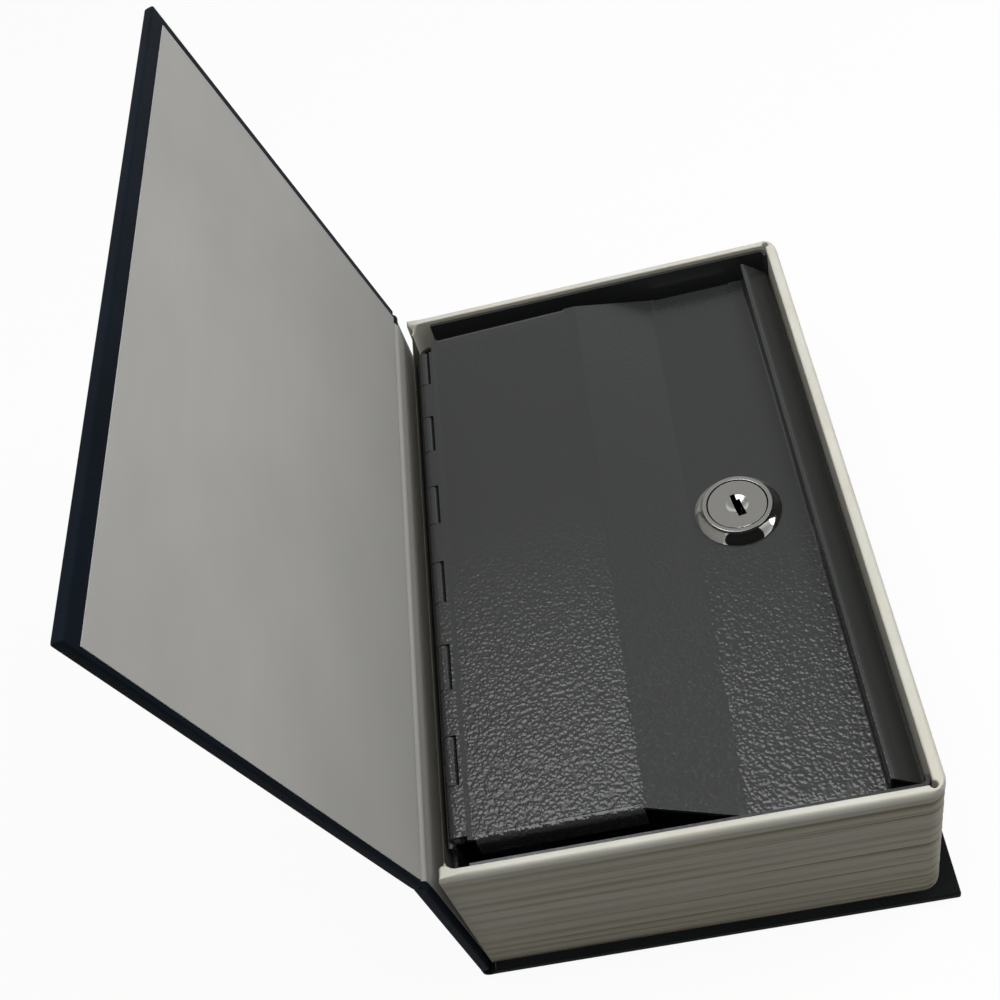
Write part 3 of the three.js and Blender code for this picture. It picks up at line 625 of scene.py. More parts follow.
def build_back_case():
    """Sections from the fore edge along the table, then round the foot of the spine."""
    board_end = foot[0] + JOINT_REACH
    edge_x, edge_draw = round_end(fore_edge, EDGE_ROUND)
    board_x = np.linspace(fore_edge - 2, board_end + 3, 16)
    flat_x = np.concatenate([edge_x[::-1], board_x, board_end + np.array([1.2, 0.5])])
    flat_draw = np.concatenate([edge_draw[::-1], np.zeros(len(flat_x) - len(edge_x))])
    outer_flat = np.column_stack([flat_x, flat_draw])
    inner_flat = np.column_stack([flat_x, back_thickness - flat_draw])
    angle = np.linspace(-math.pi / 2, -math.pi - spine_lean, 10)
    ring = np.column_stack([np.cos(angle), np.sin(angle)])
    outer_bend = foot + hinge_depth * ring
    inner_bend = foot + (hinge_depth - SKIN) * ring
    lift = np.linspace(0.4, JOINT_REACH, 4)[:, None] * spine_up
    outer = np.concatenate([outer_flat, outer_bend, outer_bend[-1] + lift])
    inner = np.concatenate([inner_flat, inner_bend, inner_bend[-1] + lift])
    draw = np.concatenate([flat_draw, np.zeros(len(outer) - len(flat_draw))])
    half = book_half - draw * END_DRAW
    points, faces = tube(slab_rings(outer, inner, -half, half, EDGE_ROUND))
    piece = make_piece(
        "case_back", points, faces, None, worn_leatherette,
        ("back_cloth", "back_joint_cloth"),
    )
    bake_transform(piece)


build_back_case()

# %% [markdown]
# ## The lining paper
#
# One sheet lines the cover, dips into the joint and runs down the inside of the spine.
# It stops a few millimetres short of the cover's edges, so a border of skin shows. It is a
# little longer on the cover than on the spine, and its far end has a small round notch
# where it passes the joint. A plane could be shrunk on to the case, but the sheet follows
# the same line as the case, so it lies on it by itself and bends with it.


# %% Lay the lining
FORE_MARGIN = 4.0
PAPER_SUNK, PAPER_PROUD = 0.02, 0.19
NOTCH_DEPTH, NOTCH_WIDTH = 1.6, 1.3


def build_lining():
    """A thin sheet whose outer face lies just over the case's inner face."""
    paper_low, paper_high = in_mm(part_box("front_endpaper"))
    s = case_stations(JOINT_REACH + 0.6, 10, SPINE_LENGTH + cover_length - FORE_MARGIN, 30)
    point, normal = along_case(s)
    _, inner_offset = case_faces(s)
    outer = point + normal * (inner_offset - PAPER_SUNK)[:, None]
    inner = point + normal * (inner_offset + PAPER_PROUD)[:, None]
    on_cover = eased(s, SPINE_LENGTH - 6, SPINE_LENGTH + 3.0)
    notch = NOTCH_DEPTH * np.exp(-(((s - SPINE_LENGTH + 0.4) / NOTCH_WIDTH) ** 2))
    near = paper_low[1] - 1.2 * on_cover + 0.7 * (1 - on_cover)
    far = paper_high[1] - 0.7 * on_cover + 1.0 * (1 - on_cover) - notch
    points, faces = tube(slab_rings(outer, inner, near, far, 0.08, 2))
    piece = make_piece(
        "lining_paper", points, faces, None, paper,
        ("spine_lining", "front_joint_lining", "front_endpaper"),
    )
    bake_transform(piece)


build_lining()

# %% [markdown]
# ## The page block
#
# The plastic block imitates a stack of leaves: shallow, uneven grooves run round three
# sides under a plain round rim. Its wall is a closed profile carried round the outline.
# Each point of the profile has a height and a share of the wall's thickness, and the
# outline gives a point on the outer and on the inner face for that share. A Displace
# modifier could cut the grooves, but as an array their depth is known at every point.

# %% Sizes of the page block
block_low, block_high = in_mm(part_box("page_frame"))
box_low, box_high = in_mm(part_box("steel_box"))
BOX_FIT = 0.2
cavity_left, cavity_right = box_low[0] - BOX_FIT, box_high[0] + BOX_FIT
cavity_half = box_high[1] + BOX_FIT
RIM_HEIGHT = 5.4
NOTCH_RADIUS = 0.9
CORNER_RADIUS = 4.5
SPINE_FILLET = 3.0
SPINE_RECESS = 0.5
LEDGE = 8.0
print("block from", block_low.round(2), "to", block_high.round(2))
print("cavity from", round(cavity_left, 2), "to", round(cavity_right, 2), "mm in X")


# %% Outline of the block, outside and inside
def arc(centre, radius, start, end, steps):
    """Points on a circle from one angle (in degrees) to another."""
    angle = np.radians(np.linspace(start, end, steps))
    return np.column_stack([centre[0] + radius * np.cos(angle), centre[1] + radius * np.sin(angle)])


def block_outlines():
    """Matching loops of points on the outer and inner faces, and marks along them.

    Both loops have the same number of points in each stretch: near side, corner, fore
    side, corner, far side, corner, spine side, corner. The marks say how much a point
    belongs to the spine side, and whether the outer face has grooves there.
    """
    left, right, half = block_low[0], block_high[0], block_high[1]
    radius, notch, fillet = CORNER_RADIUS, NOTCH_RADIUS, SPINE_FILLET
    straight = right - radius, half - radius
    meet = cavity_half - fillet
    recessed = left + SPINE_RECESS
    fore, side, corner, spine = 44, 30, 14, 24
    outer = [
        np.linspace((left, -half), (straight[0], -half), side),
        arc((straight[0], -straight[1]), radius, -90, 0, corner),
        np.linspace((right, -straight[1]), (right, straight[1]), fore),
        arc(straight, radius, 0, 90, corner),
        np.linspace((straight[0], half), (left, half), side),
        np.linspace((left, half - 0.05), (left, meet + 0.02), corner),
        np.linspace((recessed, meet), (recessed, -meet), spine),
        np.linspace((left, -meet - 0.02), (left, -half + 0.05), corner),
    ]
    start, end = cavity_left + fillet, cavity_right - notch
    wall, reach = cavity_half, cavity_half - notch
    inner = [
        np.linspace((start, -wall), (end, -wall), side),
        arc((cavity_right, -wall), notch, -180, 90, corner),
        np.linspace((cavity_right, -reach), (cavity_right, reach), fore),
        arc((cavity_right, wall), notch, -90, 180, corner),
        np.linspace((end, wall), (start, wall), side),
        arc((start, meet), fillet, 90, 180, corner),
        np.linspace((cavity_left, meet), (cavity_left, -meet), spine),
        arc((start, -meet), fillet, 180, 270, corner),
    ]
    count = [side, corner, fore, corner, side, corner, spine, corner]
    grooved = np.repeat([1, 1, 1, 1, 1, 0, 0, 0], count)
    on_spine = np.repeat([0.0, 0, 0, 0, 0, 0, 1, 0], count)
    on_spine[-corner:] = 1 - eased(np.arange(corner), 2, 7)
    on_spine[-corner - spine - corner:-corner - spine] = eased(np.arange(corner), 2, 8)
    return np.concatenate(outer), np.concatenate(inner), on_spine, grooved


# %% [markdown]
# The grooves are the sum of eleven bell-shaped dips at slightly uneven heights, of some
# narrow ones between them, and of a much finer ripple. They fade a little and swell again
# along the block, as on a moulding whose tool was cut by hand, and the broad ones are
# deepest by the spine. A soft limit keeps the sum shallower than the wall. A seeded random
# generator gives the same block each time.


# %% Depth of the grooves
rng = np.random.default_rng(7)
LEAVES, NARROW_DIPS, RIPPLES = 11, 22, 5
RIM_GROOVE_DEPTH, RIM_GROOVE_WIDTH = 0.55, 0.9
RIPPLE_DEPTH = 0.012
DEEPEST = 0.9
TURN = 6.3


def dip(z, centre, drift, width, strength):
    """A bell: strength times exp(-(distance from the drifting centre / width) squared)."""
    return np.exp(-(((z[:, None] - centre - drift[None, :]) / width) ** 2)) * strength[None, :]


def groove_depth(z, travel):
    """Depth in mm at each height z (rows) and distance round the outline (columns)."""
    bottom, top = block_low[2], block_high[2] - RIM_HEIGHT
    pitch = (top - bottom) / LEAVES
    level = np.zeros_like(travel)
    depth = dip(z, top, level, RIM_GROOVE_WIDTH, RIM_GROOVE_DEPTH + level)
    for k in range(LEAVES):
        centre = bottom + k * pitch + rng.uniform(-0.9, 0.9) * (k > 0)
        drift = rng.uniform(0.1, 0.3) * np.sin(travel / rng.uniform(40, 90) + rng.uniform(0, TURN))
        strength = rng.uniform(0.2, 0.65) * (0.85 + 0.15 * np.sin(travel / rng.uniform(8, 20)))
        strength = strength * (1.6 - 1.05 * eased(travel, 15, 90))
        depth += dip(z, centre, drift, rng.uniform(0.6, 1.3), strength)
    for centre in rng.uniform(bottom, top, NARROW_DIPS):
        drift = 0.2 * np.sin(travel / rng.uniform(15, 60) + rng.uniform(0, TURN))
        strength = rng.uniform(0.05, 0.2) * (
            1 + np.sin(travel / rng.uniform(10, 40) + rng.uniform(0, TURN))
        )
        depth += dip(z, centre, drift, rng.uniform(0.12, 0.3), strength)
    for _ in range(RIPPLES):
        wave, phase = rng.uniform(0.9, 2.2), rng.uniform(0, TURN)
        drift = 0.4 * np.sin(travel / rng.uniform(10, 20) + phase)
        depth += RIPPLE_DEPTH * (1 + np.sin((z[:, None] + drift[None, :]) / wave * TURN + phase))
    return DEEPEST * np.tanh(depth / DEEPEST)


# %% Profile of the wall and the finished block
WALL = 2.2
ROUND_OUTER, ROUND_HEIGHT, ROUND_INNER = 1.0, 2.2, 0.45
FACE_ROWS = 340
SPINE_DROP, SPINE_THINNING = 2.0, 0.84


def build_page_block():
    """The wall's profile carried round the outline and closed on itself.

    The profile climbs the outer face, rounds the rim, goes down the inner face and comes
    back under the ledge that the box stands on. Beside the hinge the rim is lower and the
    wall thinner.
    """
    outer, inner, on_spine, grooved = block_outlines()
    step = np.linalg.norm(np.diff(outer, axis=0, append=outer[:1]), axis=1)
    travel = np.concatenate([[0], np.cumsum(step)[:-1]])
    bottom, top = block_low[2], block_high[2]
    face_z = np.linspace(bottom, top - ROUND_HEIGHT, FACE_ROWS)
    turn = np.linspace(0, math.pi / 2, 15)[1:]
    outer_z = top - ROUND_HEIGHT * (1 - np.sin(turn))
    outer_share = ROUND_OUTER * (1 - np.cos(turn)) / WALL
    inner_z = (top - ROUND_INNER * (1 - np.sin(turn)))[::-1]
    inner_share = 1 - (ROUND_INNER * (1 - np.cos(turn)) / WALL)[::-1]
    rest_z = np.array([top - ROUND_INNER, top - 10, box_low[2], box_low[2], bottom])
    z = np.concatenate([face_z, outer_z, inner_z, rest_z])
    share = np.concatenate([np.zeros(len(face_z)), outer_share, inner_share, np.ones(len(rest_z))])
    from_corner = np.hypot(outer[:, 0] - block_low[0], np.abs(outer[:, 1]) - block_high[1])
    at_corner = np.exp(-(from_corner / 1.5) ** 2)
    outward = outer - inner
    outward /= np.linalg.norm(outward, axis=1)[:, None]
    depth = groove_depth(z, travel) * (share < 0.001)[:, None] * grooved[None, :]
    depth *= 1 - eased(z, top - RIM_HEIGHT, top - RIM_HEIGHT + 2.2)[:, None]
    thinned = SPINE_THINNING * on_spine[None, :] * eased(z, top - 16, top - 3)[:, None]
    rounding = np.where(share < 0.6, share, 0)[:, None] * 0.6 * at_corner[None, :]
    share_here = np.maximum(share[:, None] - rounding, thinned)[:, :, None]
    flat = outer[None, :, :] * (1 - share_here) + inner[None, :, :] * share_here
    flat = flat - outward[None, :, :] * depth[:, :, None]
    flat[-2:] = np.clip(
        inner, (cavity_left + LEDGE, -cavity_half + LEDGE), (cavity_right - LEDGE, cavity_half - LEDGE),
    )
    lowered = on_spine[None, :] * eased(z, top - 8, top - 2)[:, None]
    height = z[:, None] - SPINE_DROP * lowered
    rings = np.concatenate([flat, height[:, :, None]], axis=2).transpose(1, 0, 2)
    points, faces = tube(rings, wrap=True)
    return make_piece(
        "page_block", points, faces, "base", ivory, ("page_frame",), sharp=50,
    )


page_block = build_page_block()

# %% [markdown]
# How dark each point is painted is worked out from where it lies. On the grooved faces it
# grows with the depth below a box with round corners, whose distance has a simple formula:
# move in by the corner's radius, measure to what is left, and take the radius off. There
# it is partly dirt and partly painted shade. The wall beside the hinge and its rim are
# darkest, and the cavity only a little, as painted shade.

# %% Mark how dark each point of the block is painted, as dirt and shade
spot = np.empty(len(page_block.data.vertices) * 3)
page_block.data.vertices.foreach_get("co", spot)
x, y, z = (spot / MM).reshape(-1, 3).T
beyond = np.stack([x - block_high[0], np.abs(y) - block_high[1]], axis=1) + CORNER_RADIUS
outside = np.linalg.norm(np.maximum(beyond, 0), axis=1) + np.minimum(beyond.max(axis=1), 0)
outside -= CORNER_RADIUS
on_face = (outside > -0.8) & (z < block_high[2] - 2)
by_hinge = (x < cavity_left + 0.1) & (np.abs(y) < cavity_half - 2.5)
on_inner_wall = by_hinge & (x > cavity_left - 0.1)
on_rim = by_hinge & (z > block_high[2] - 5)
in_cavity = (outside < -1.2) & (z < block_high[2] - 0.4)
in_groove = np.clip(0.5 - outside / 0.7, 0, 1.2)
# Painted shade on the wall and rim by the hinge and in the cavity; dirt and painted shade in the
# grooves.
dirt_and_shade = np.select([on_face, on_inner_wall, on_rim, in_cavity], [in_groove, 2.0, 1.6, 0.25], 0.0)
groove = page_block.data.attributes.new("groove", "FLOAT", "POINT")
groove.data.foreach_set("value", dirt_and_shade)
print("deepest groove", round(float(-outside[on_face].min()), 2), "mm")

# %% [markdown]
# ## The lid
#
# The lid is one folded sheet. Its left edge is cut into tabs that are rolled into hinge
# knuckles, it steps down to a panel that rises gently to a ridge, slopes down to the
# plateau of the lock, stands up as a finger rail and ends in a sloping lip. The panel
# and the plateau have turned-down ends. All of it is one grid: the rows follow the
# folded line, the columns run along the book and bend down past both ends. It could be
# extruded fold by fold, but one grid with a mask keeps the sheet equally thick all over,
# as the press does with the real blank.

# %% Places along the lid
axis = pivot(joints["lid_hinge"])
lock_x, lock_z = pivot(joints["lock_turn"])
leaf_low, leaf_high = in_mm(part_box("hinge_leaf"))
SHEET = 0.9
KNUCKLE_RADIUS = 1.9
KNUCKLES = 12
KNUCKLE_GAP = 0.25
hinge_near, hinge_far = leaf_low[1], leaf_high[1]
knuckle_length = (hinge_far - hinge_near) / KNUCKLES
box_top = axis[1] + KNUCKLE_RADIUS
panel_start = axis[0] + 3.0
panel_z = box_top - 0.5
rail_x = cavity_right - 8.1
valley_x = rail_x - 28.8
ridge_x = valley_x - 21.6
panel_half, plateau_half = cavity_half - 5.8, cavity_half - 3.2
panel_flange = (panel_start + 0.9, ridge_x - 1.7)
plateau_flange = (valley_x + 3, rail_x - 4)
HOLE_HALF = 7.5
hole = (lock_x - HOLE_HALF, lock_x + HOLE_HALF)
LEAF_REACH = 1.5
window_edge = axis[0] + LEAF_REACH + KNUCKLE_GAP
ROLL_STEPS = 22
FOLD_STEPS = 7
print("hinge from", round(hinge_near, 2), "to", round(hinge_far, 2), "mm")
print("knuckles", round(knuckle_length, 2), "mm long")


# %% The folded line with soft bends
def soft_line(corners, radii, steps=7):
    """A line through corners, each replaced by an arc of its radius: points and normals.

    The arc touches both legs at radius times tan(half the turn) from the corner.
    """
    corners = np.asarray(corners, float)
    points, normals = [], []
    for k, corner in enumerate(corners):
        before = corner - corners[k - 1] if k else corners[1] - corner
        after = corners[k + 1] - corner if k + 1 < len(corners) else before
        before, after = before / np.linalg.norm(before), after / np.linalg.norm(after)
        up = np.array([-before[1], before[0]])
        turn = math.atan2(before[0] * after[1] - before[1] * after[0], before @ after)
        if abs(turn) < 1e-6 or radii[k] == 0:
            points.append(corner[None])
            normals.append(np.array([[-after[1], after[0]]]))
            continue
        radius = radii[k] * np.sign(turn)
        centre = corner - before * radii[k] * math.tan(abs(turn) / 2) + up * radius
        part = np.linspace(0, turn, steps)[:, None]
        swung = up * np.cos(part) + np.array([-up[1], up[0]]) * np.sin(part)
        points.append(centre - swung * radius)
        normals.append(swung)
    return np.concatenate(points), np.concatenate(normals)


def lid_rows():
    """Points and normals of the lid's top face, from the roll of the hinge to the lip."""
    roll = np.radians(np.linspace(90 + 285, 90, ROLL_STEPS))
    curl = np.column_stack([np.cos(roll), np.sin(roll)])
    corners = [
        (panel_start - 0.9, box_top), (panel_start - 0.5, box_top), (panel_start + 0.7, panel_z),
        (ridge_x, panel_z + 0.8), (valley_x, lock_z), (rail_x, lock_z),
        (rail_x, lock_z + 6.7), (cavity_right - 1.2, lock_z + 0.9),
    ]
    points, normals = soft_line(corners, [0, 0.7, 0.7, 3.0, 2.0, 0.8, 0.6, 0])
    points = np.concatenate([axis + KNUCKLE_RADIUS * curl, points])
    return points, np.concatenate([curl, normals])


def with_stops(points, normals, stops):
    """Rows added where the top face passes each X stop on a long straight."""
    for stop in stops:
        x = points[:, 0]
        passes = (x[:-1] < stop) & (x[1:] > stop) & (x[1:] - x[:-1] > 0.9)
        after = int(np.nonzero(passes)[0][0]) + 1
        share = (stop - x[after - 1]) / (x[after] - x[after - 1])
        point = points[after - 1] + share * (points[after] - points[after - 1])
        points = np.insert(points, after, point, axis=0)
        normals = np.insert(normals, after, normals[after - 1], axis=0)
    return points, normals


# %% Columns along the book
def knuckle_span(index):
    """Near and far end of a knuckle; they are counted from the far end."""
    far = hinge_far - index * knuckle_length
    return far - knuckle_length + KNUCKLE_GAP / 2, far - KNUCKLE_GAP / 2


def window_span(index):
    """The window in the lid round one of the box's knuckles."""
    near, far = knuckle_span(index)
    return near - KNUCKLE_GAP, far + KNUCKLE_GAP


inner_columns = [hinge_near + 0.5, hinge_near, hinge_far, -HOLE_HALF, HOLE_HALF]
for index in range(0, KNUCKLES, 2):
    inner_columns += window_span(index)
inner_columns = np.unique(np.clip(inner_columns, hinge_near, hinge_far))
fold = np.linspace(math.pi / 2, 0, FOLD_STEPS)
tilt = np.concatenate([[math.pi / 2], fold, 0 * inner_columns, fold[::-1], [math.pi / 2]])
outer_side = np.ones(FOLD_STEPS + 1)
side = np.concatenate([-outer_side, 0 * inner_columns, outer_side])
hanging = np.concatenate([[1.0], np.zeros(len(tilt) - 2), [1.0]])
print(len(tilt), "columns, of which", len(inner_columns), "lie inside")

# %% [markdown]
# Where the sheet has a turned-down end, its outer columns follow a quarter circle and
# then hang straight down. Elsewhere they all lie on the cut edge, and the mask leaves
# their empty cells out. The mask also cuts the windows of the hinge and the lock's hole.

# %% Build the lid
CUT_HALF = 0.01
edges = [panel_flange[0] + 0.4, panel_flange[1], *plateau_flange]
stops = [window_edge, *hole] + [edge + shift for edge in edges for shift in (-CUT_HALF, CUT_HALF)]
row_points, row_normals = with_stops(*lid_rows(), stops)
row_x = row_points[:, 0]
past_roll = np.arange(len(row_x)) >= ROLL_STEPS


def between(value, start, end):
    """True where a value lies between two others."""
    return (value > start) & (value < end)


BEND_SLANT = 1.7


def lid_surface(depth):
    """The grid of the lid's top face, moved into the sheet by a depth along its normal.

    A column on a fold of radius bend stands at the sine of its tilt and falls by one less
    its cosine. Cut edges without a fold stand back a little. The bends beside the ridge
    and the valley run at a slight slant, so X there also grows with Y.
    """
    half = np.interp(row_x, [ridge_x, valley_x], [panel_half, plateau_half])
    set_back = np.interp(row_x, [ridge_x, valley_x], [0.8, 0.5])
    half = (half - np.where(flanged, 0, set_back))[:, None]
    bend = np.where(flanged, np.where(row_x < ridge_x, 2.0, 1.4), 0.0)[:, None]
    drop = np.where(row_x < ridge_x, 6.4, 5.4)[:, None]
    end = half - bend * (1 - np.sin(tilt))
    y = end * side
    y[:, side == 0] = inner_columns
    fall = bend * (1 - np.cos(tilt)) + (drop - bend) * hanging * (bend > 0)
    fall = fall * (side != 0) + depth * np.cos(tilt)
    y = y - depth * np.sin(tilt) * side * (bend > 0)
    x = row_points[:, :1] - row_normals[:, :1] * fall
    z = row_points[:, 1:] - row_normals[:, 1:] * fall
    slant = BEND_SLANT * y / plateau_half * between(row_x, ridge_x - 1.5, valley_x + 1.5)[:, None]
    return np.stack([x + slant, y, z], axis=-1)


def lid_mask(y):
    """The cells that hold sheet: no empty ends, no windows, no hole under the lock."""
    middle_x = (row_x[1:] + row_x[:-1]) / 2
    middle_y = (y[1:, 1:] + y[:-1, :-1]) / 2
    keep = np.ones(middle_y.shape, bool)
    folded = flanged[1:] & flanged[:-1]
    keep[~folded, :FOLD_STEPS] = keep[~folded, -FOLD_STEPS:] = False
    strip = middle_x < panel_start
    keep[strip, :FOLD_STEPS + 1] = keep[strip, -FOLD_STEPS - 1:] = False
    at_hinge = ((middle_x < window_edge) | ~past_roll[1:])[:, None]
    for index in range(0, KNUCKLES, 2):
        keep &= ~(at_hinge & between(middle_y, *window_span(index)))
    return keep & ~(between(middle_x, *hole)[:, None] & between(middle_y, -HOLE_HALF, HOLE_HALF))


flanged = past_roll & (between(row_x, edges[0], edges[1]) | between(row_x, *plateau_flange))
lid_top = lid_surface(0.0)
lid_shape, lid_faces = plate(lid_top, lid_surface(SHEET), lid_mask(lid_top[:, :, 1]))
lid_paint = make_hammered("hammer-finish powder coat, smooth on the rail", rail_x + 0.2)
make_piece(
    "lid_sheet", lid_shape, lid_faces, "lid", lid_paint, ("lid",), sharp=40,
)

# %% [markdown]
# ## The box's half of the hinge
#
# A leaf stands against the box's wall and its tabs are rolled over the same wire. It is
# made like the lid: rows from the foot of the leaf up and round the wire. The roll is
# pressed a little flat on the lid's side, so that the lid's windows can stay narrow.


# %% Build the hinge leaf
LID_SIDE_THINNING = 0.35


def build_leaf():
    """A flat leaf whose tabs curl over the wire; the gaps leave room for the lid's tabs."""
    roll = np.radians(np.linspace(180, 180 - 285, 24))
    curl = np.column_stack([np.cos(roll), np.sin(roll)])
    gap_z = axis[1] - KNUCKLE_RADIUS - 0.4
    stand = np.column_stack([np.full(2, axis[0] - KNUCKLE_RADIUS), [leaf_low[2], gap_z]])
    points = np.concatenate([stand, axis + KNUCKLE_RADIUS * curl])
    normals = np.concatenate([np.tile([-1.0, 0.0], (2, 1)), curl])
    to_lid = np.maximum(normals[:, :1], 0)
    points[:, :1] -= (KNUCKLE_RADIUS - LEAF_REACH) * to_lid
    tabs = np.array([knuckle_span(index) for index in range(0, KNUCKLES, 2)])
    y = np.unique(np.clip([hinge_near, hinge_far, *tabs.ravel()], hinge_near, hinge_far))
    skins = []
    for share in (0, 1):
        face = points - share * (SHEET - LID_SIDE_THINNING * to_lid) * normals
        skins.append(np.stack(np.broadcast_arrays(face[:, :1], y, face[:, 1:]), axis=-1))
    middle = (y[1:] + y[:-1]) / 2
    on_tab = np.any([between(middle, *tab) for tab in tabs], axis=0)
    keep = np.ones((len(points) - 1, len(middle)), bool)
    keep[1:, ~on_tab] = False
    shape, faces = plate(skins[0], skins[1], keep)
    make_piece(
        "hinge_leaf_rolled", shape, faces, "base", hammered, ("hinge_leaf",),
        sharp=40,
    )


build_leaf()

# %% [markdown]
# ## The lock's face
#
# The bezel is turned: a ring on a flared skirt. A profile spun round the lock's axis
# gives it, as a Screw modifier would. The plug's head is a disc with a round dimple that
# guides the key, and a stepped slot. It is a set of rings that change from the slot's
# outline to the disc's. A Boolean could cut the slot, but rings leave clean quads.


# %% Spin a profile for the bezel
def spun(profile, sides=160):
    """Rings round the lock's axis from a closed profile of radius and height."""
    profile = np.asarray(profile, float)
    angle = np.linspace(0, 2 * math.pi, sides, endpoint=False)[:, None]
    x = lock_x + profile[:, 0] * np.cos(angle)
    y = profile[:, 0] * np.sin(angle)
    z = lock_z + np.broadcast_to(profile[:, 1], x.shape)
    return tube(np.stack([x, y, z], axis=-1), wrap=True)


BARREL, BARREL_FOOT, BARREL_BORE = 7.8, -12.0, 5.65
SKIRT, RING_TOP = 11.0, 3.12
HEAD_BORE, HEAD_SEAT = 7.75, 1.6


def build_bezel():
    """Round the barrel, the flared skirt and the ring, then down the bores to the foot."""
    profile = [
        (BARREL, BARREL_FOOT), (BARREL, 0.0),
        (SKIRT - 0.3, 0.0), (SKIRT, 0.1), (SKIRT, 0.3), (SKIRT - 0.15, 0.5),
        (9.9, 1.2), (9.1, 1.8), (8.85, 2.1), (8.82, 2.9),
        (8.8, RING_TOP - 0.1), (8.74, RING_TOP - 0.03), (8.6, RING_TOP),
        (HEAD_BORE + 0.08, RING_TOP), (HEAD_BORE + 0.02, RING_TOP - 0.02),
        (HEAD_BORE, RING_TOP - 0.08), (HEAD_BORE, HEAD_SEAT),
        (BARREL_BORE, HEAD_SEAT), (BARREL_BORE, BARREL_FOOT),
    ]
    points, faces = spun(profile)
    return make_piece(
        "lock_bezel", points, faces, "lid", bright_nickel, ("lock_housing",), sharp=28,
    )


def from_lock(centre):
    """Distance from the lock's axis, and height over the plateau, of rows of x, y, z."""
    return np.hypot(centre[:, 0] - lock_x, centre[:, 1]), centre[:, 2] - lock_z


def on_ring_top(centre):
    """The ring's flat top and its rounded rims."""
    return from_lock(centre)[1] > 2.75


def in_head_bore(centre):
    """The bore round the plug's head, below its rounded rim."""
    radius, height = from_lock(centre)
    return (np.abs(height - 2.0) < 0.8) & (radius < HEAD_BORE + 0.02)


bezel = build_bezel()
repaint(bezel, satin_nickel, on_ring_top)
# The bore round the plug's head is painted near-black as shade.
repaint(bezel, shade_black_zinc, in_head_bore)

# %% Build the plug
KEY_ANGLE = math.radians(9)
DIMPLE_RADIUS, DIMPLE_DEPTH = 2.9, 0.85
HEAD_RADIUS, HEAD_TOP = 7.48, 3.0
HEAD_RIM, HEAD_RIM_DROP = 0.12, 0.1
SHANK, SHANK_FOOT = 5.5, -12.3
TAIL_HALF, TAIL_FOOT = 2.6, -14.3
SLOT_DEPTH = 11.0


def slot_outline(count):
    """Points round the stepped slot: its corners joined by evenly spaced points."""
    left, step, right = -0.9, 0.4, 1.2
    low, shoulder, high = -3.8, 1.7, 3.2
    corners = np.array([
        (left, low), (right, low), (right, shoulder), (step, shoulder), (step, high), (left, high),
        (left, low),
    ])
    reach = np.concatenate([[0], np.cumsum(np.linalg.norm(np.diff(corners, axis=0), axis=1))])
    t = np.unique(np.concatenate([np.linspace(0, reach[-1], count, endpoint=False), reach[:-1]]))
    return np.column_stack([np.interp(t, reach, corner) for corner in corners.T])


def dished(flat):
    """Height of the head's face: a spherical dimple in the middle and a rounded rim."""
    radius = np.linalg.norm(flat, axis=1)
    ball = (DIMPLE_RADIUS**2 + DIMPLE_DEPTH**2) / (2 * DIMPLE_DEPTH)
    bowl = np.sqrt(ball**2 - np.minimum(radius, DIMPLE_RADIUS) ** 2) - (ball - DIMPLE_DEPTH)
    rim = HEAD_RIM_DROP * np.clip((radius - HEAD_RADIUS + HEAD_RIM) / HEAD_RIM, 0, 1) ** 2
    return HEAD_TOP - bowl - rim


def build_plug():
    """Rings from the foot of the slot up its walls, over the face, down the shank and tail."""
    slot = slot_outline(150)
    angle = np.arctan2(slot[:, 1], slot[:, 0])
    circle = np.column_stack([np.cos(angle), np.sin(angle)])
    square = circle * (TAIL_HALF / np.abs(circle).max(axis=1))[:, None]
    head_back = HEAD_SEAT + 0.15
    level = [(slot, HEAD_TOP - SLOT_DEPTH)]
    for share in np.linspace(0, 1, 60) ** 0.9:
        flat = slot * (1 - share) + HEAD_RADIUS * circle * share
        level.append((flat, dished(flat)))
    level += [
        (HEAD_RADIUS * circle, head_back), (SHANK * circle, head_back), (SHANK * circle, SHANK_FOOT),
        (square, SHANK_FOOT), (square, TAIL_FOOT),
    ]
    loops = np.stack([
        np.column_stack([flat, np.broadcast_to(height, len(flat))]) for flat, height in level
    ])
    x = lock_x + loops[:, :, 0] * math.cos(KEY_ANGLE) - loops[:, :, 1] * math.sin(KEY_ANGLE)
    y = loops[:, :, 0] * math.sin(KEY_ANGLE) + loops[:, :, 1] * math.cos(KEY_ANGLE)
    points, faces = tube(np.stack([x, y, lock_z + loops[:, :, 2]], axis=-1))
    return make_piece(
        "plug_with_slot", points, faces, "plug", satin_nickel, ("lock_plug",), sharp=25,
    )


def in_slot(centre):
    """The walls and foot of the slot."""
    radius, height = from_lock(centre)
    return (height < 2.0) & (radius < 4.9)


plug = build_plug()
# The slot's walls and foot are painted near-black as shade.
repaint(plug, shade_black_zinc, in_slot)

# %% [markdown]
# ## Finishes for the pieces that stay as they are
#
# The box, rivets, nut, cam and wafers have their right shape in the CAD model. They only
# need their finish.

# %% Give the remaining nodes their materials
finish_of = {
    "steel_box": box_paint,
    "back_board": greyboard, "spine_board": greyboard, "front_board": greyboard,
    "box_adhesive": foam,
}
finish_of.update({name: zinc for name in (
    "strike_bracket", "hinge_pin", "lock_nut", "lock_cam", "cam_washer", "cam_screw",
)})
finish_of.update({f"box_rivet_{k}": zinc for k in range(1, 5)})
finish_of.update({f"wafer_{k}": brass for k in range(1, 5)})
finish_of.update({f"wafer_spring_{k}": zinc for k in range(1, 5)})
for node, material in finish_of.items():
    cad_object = frame["nodes"][node]
    cad_object.data.materials.clear()
    cad_object.data.materials.append(material)
print(len(finish_of), "nodes keep their shape")

# %% [markdown]
# ## Table and light
#
# The book lies on a plain table in a pale studio. The camera, and anything shiny, sees
# the table white; the light that it throws back on to the book is that of a grey one.


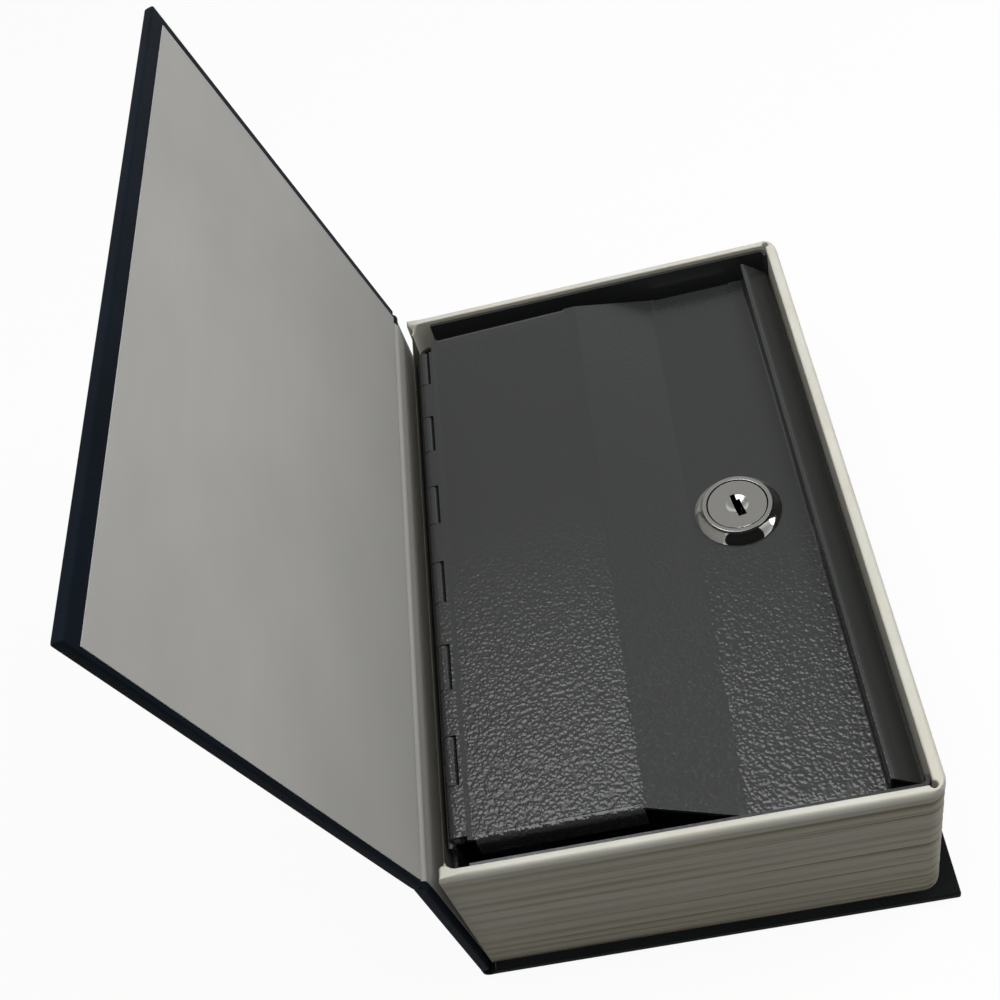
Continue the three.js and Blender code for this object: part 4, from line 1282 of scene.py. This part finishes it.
# %% Table
def seen_directly(tree):
    """1 for rays from the camera, a mirror or glass, and 0 for rays that only carry light."""
    path = add(tree, "ShaderNodeLightPath", {}).outputs
    seen = path["Is Camera Ray"]
    for kind in ("Is Glossy Ray", "Is Transmission Ray"):
        seen = add(tree, "ShaderNodeMath", {0: seen, 1: path[kind]}, operation="MAXIMUM")
    return seen


def sheet_mesh(name, half_width, half_depth):
    """A flat rectangle round the origin, facing up."""
    mesh = bpy.data.meshes.new(name)
    turns = ((-1, -1), (1, -1), (1, 1), (-1, 1))
    corners = [(right * half_width, up * half_depth, 0) for right, up in turns]
    mesh.from_pydata(corners, [], [(0, 1, 2, 3)])
    return mesh


TABLE_HALF = 3.0
TABLE_GAP = 0.0004
table = sheet_mesh("table", TABLE_HALF, TABLE_HALF)
table_object = bpy.data.objects.new("table", table)
table_object.location.z = -TABLE_GAP
scene.collection.objects.link(table_object)
table_material, tree, shader = new_material("pale table", Roughness=0.8)
seen = seen_directly(tree)
tones = {"Factor": seen, "A": linear("#6A6A6A"), "B": linear("#EEEEEE")}
connect(tree, shader, {"Base Color": add(tree, "ShaderNodeMix", tones, data_type="RGBA")})
white = add(tree, "ShaderNodeEmission", {"Color": (1, 1, 1, 1), "Strength": 1.0})
camera_ray = add(tree, "ShaderNodeLightPath", {}).outputs["Is Camera Ray"]
share = add(tree, "ShaderNodeMapRange", {"Value": camera_ray, "To Min": 0.35, "To Max": 0.93})
share = add(tree, "ShaderNodeMath", {0: seen, 1: share}, operation="MULTIPLY")
blend = add(tree, "ShaderNodeMixShader", {0: share, 1: shader, 2: white})
connect(tree, tree.nodes["Material Output"], {"Surface": blend})
table.materials.append(table_material)
print("table", 2 * TABLE_HALF, "m wide")

# %% Pale surroundings that grow darker overhead
world = bpy.data.worlds.new("studio")
scene.world = world
world.use_nodes = True
tree = world.node_tree
direction = add(tree, "ShaderNodeTexCoord", {}).outputs["Generated"]
upward = add(tree, "ShaderNodeSeparateXYZ", {"Vector": direction}).outputs["Z"]
backdrop = add(tree, "ShaderNodeMapRange", {
    "Value": upward, "From Min": 0.3, "From Max": 0.62, "To Min": 1.0, "To Max": 0.42,
})
limits = {"Value": seen_directly(tree), "To Min": 0.1, "To Max": backdrop}
strength = add(tree, "ShaderNodeMapRange", limits)
connect(tree, tree.nodes["Background"], {"Strength": strength, "Color": (1, 1, 1, 1)})


# %% Softboxes and a black card
def facing(thing, place, target):
    """Puts a lamp or a card at a place and turns its face towards the target."""
    thing.location = place
    thing.rotation_euler = (Vector(target) - Vector(place)).to_track_quat("-Z", "Y").to_euler()
    scene.collection.objects.link(thing)


def softbox(name, width, height, power, place):
    """A rectangular lamp of this size in metres and power in watts, facing the book."""
    lamp = bpy.data.lights.new(name, "AREA")
    lamp.shape = "RECTANGLE"
    lamp.size, lamp.size_y, lamp.energy = width, height, power
    box = bpy.data.objects.new(name, lamp)
    facing(box, place, (0, 0, 0.05))
    return box


softbox("softbox overhead", 0.95, 0.65, 6.4, (-0.12, -0.1, 1.0))
# The next lamp only shows as a mirror image, which gives the sparkle on the paint.
sparkle = softbox("small softbox for the sparkle", 0.35, 0.35, 1.6, (1.0, 0.0, 0.5))
sparkle.visible_diffuse = False
fill = softbox("softbox from the fore edge", 0.4, 0.4, 2.7, (0.42, 0.1, 0.62))
fill.visible_glossy = False

# The card gives the bezel its dark edge, and nothing but a mirror image of it shows.
card = sheet_mesh("black card", 0.6, 0.45)
card_material, _, _ = new_material("black velvet", Base_Color=linear("#0A0A0A"), Roughness=1.0)
card.materials.append(card_material)
card_object = bpy.data.objects.new("black card", card)
for kind in ("camera", "diffuse", "shadow"):
    setattr(card_object, "visible_" + kind, False)
facing(card_object, (0.05, -0.65, 0.45), (0, 0, 0.05))
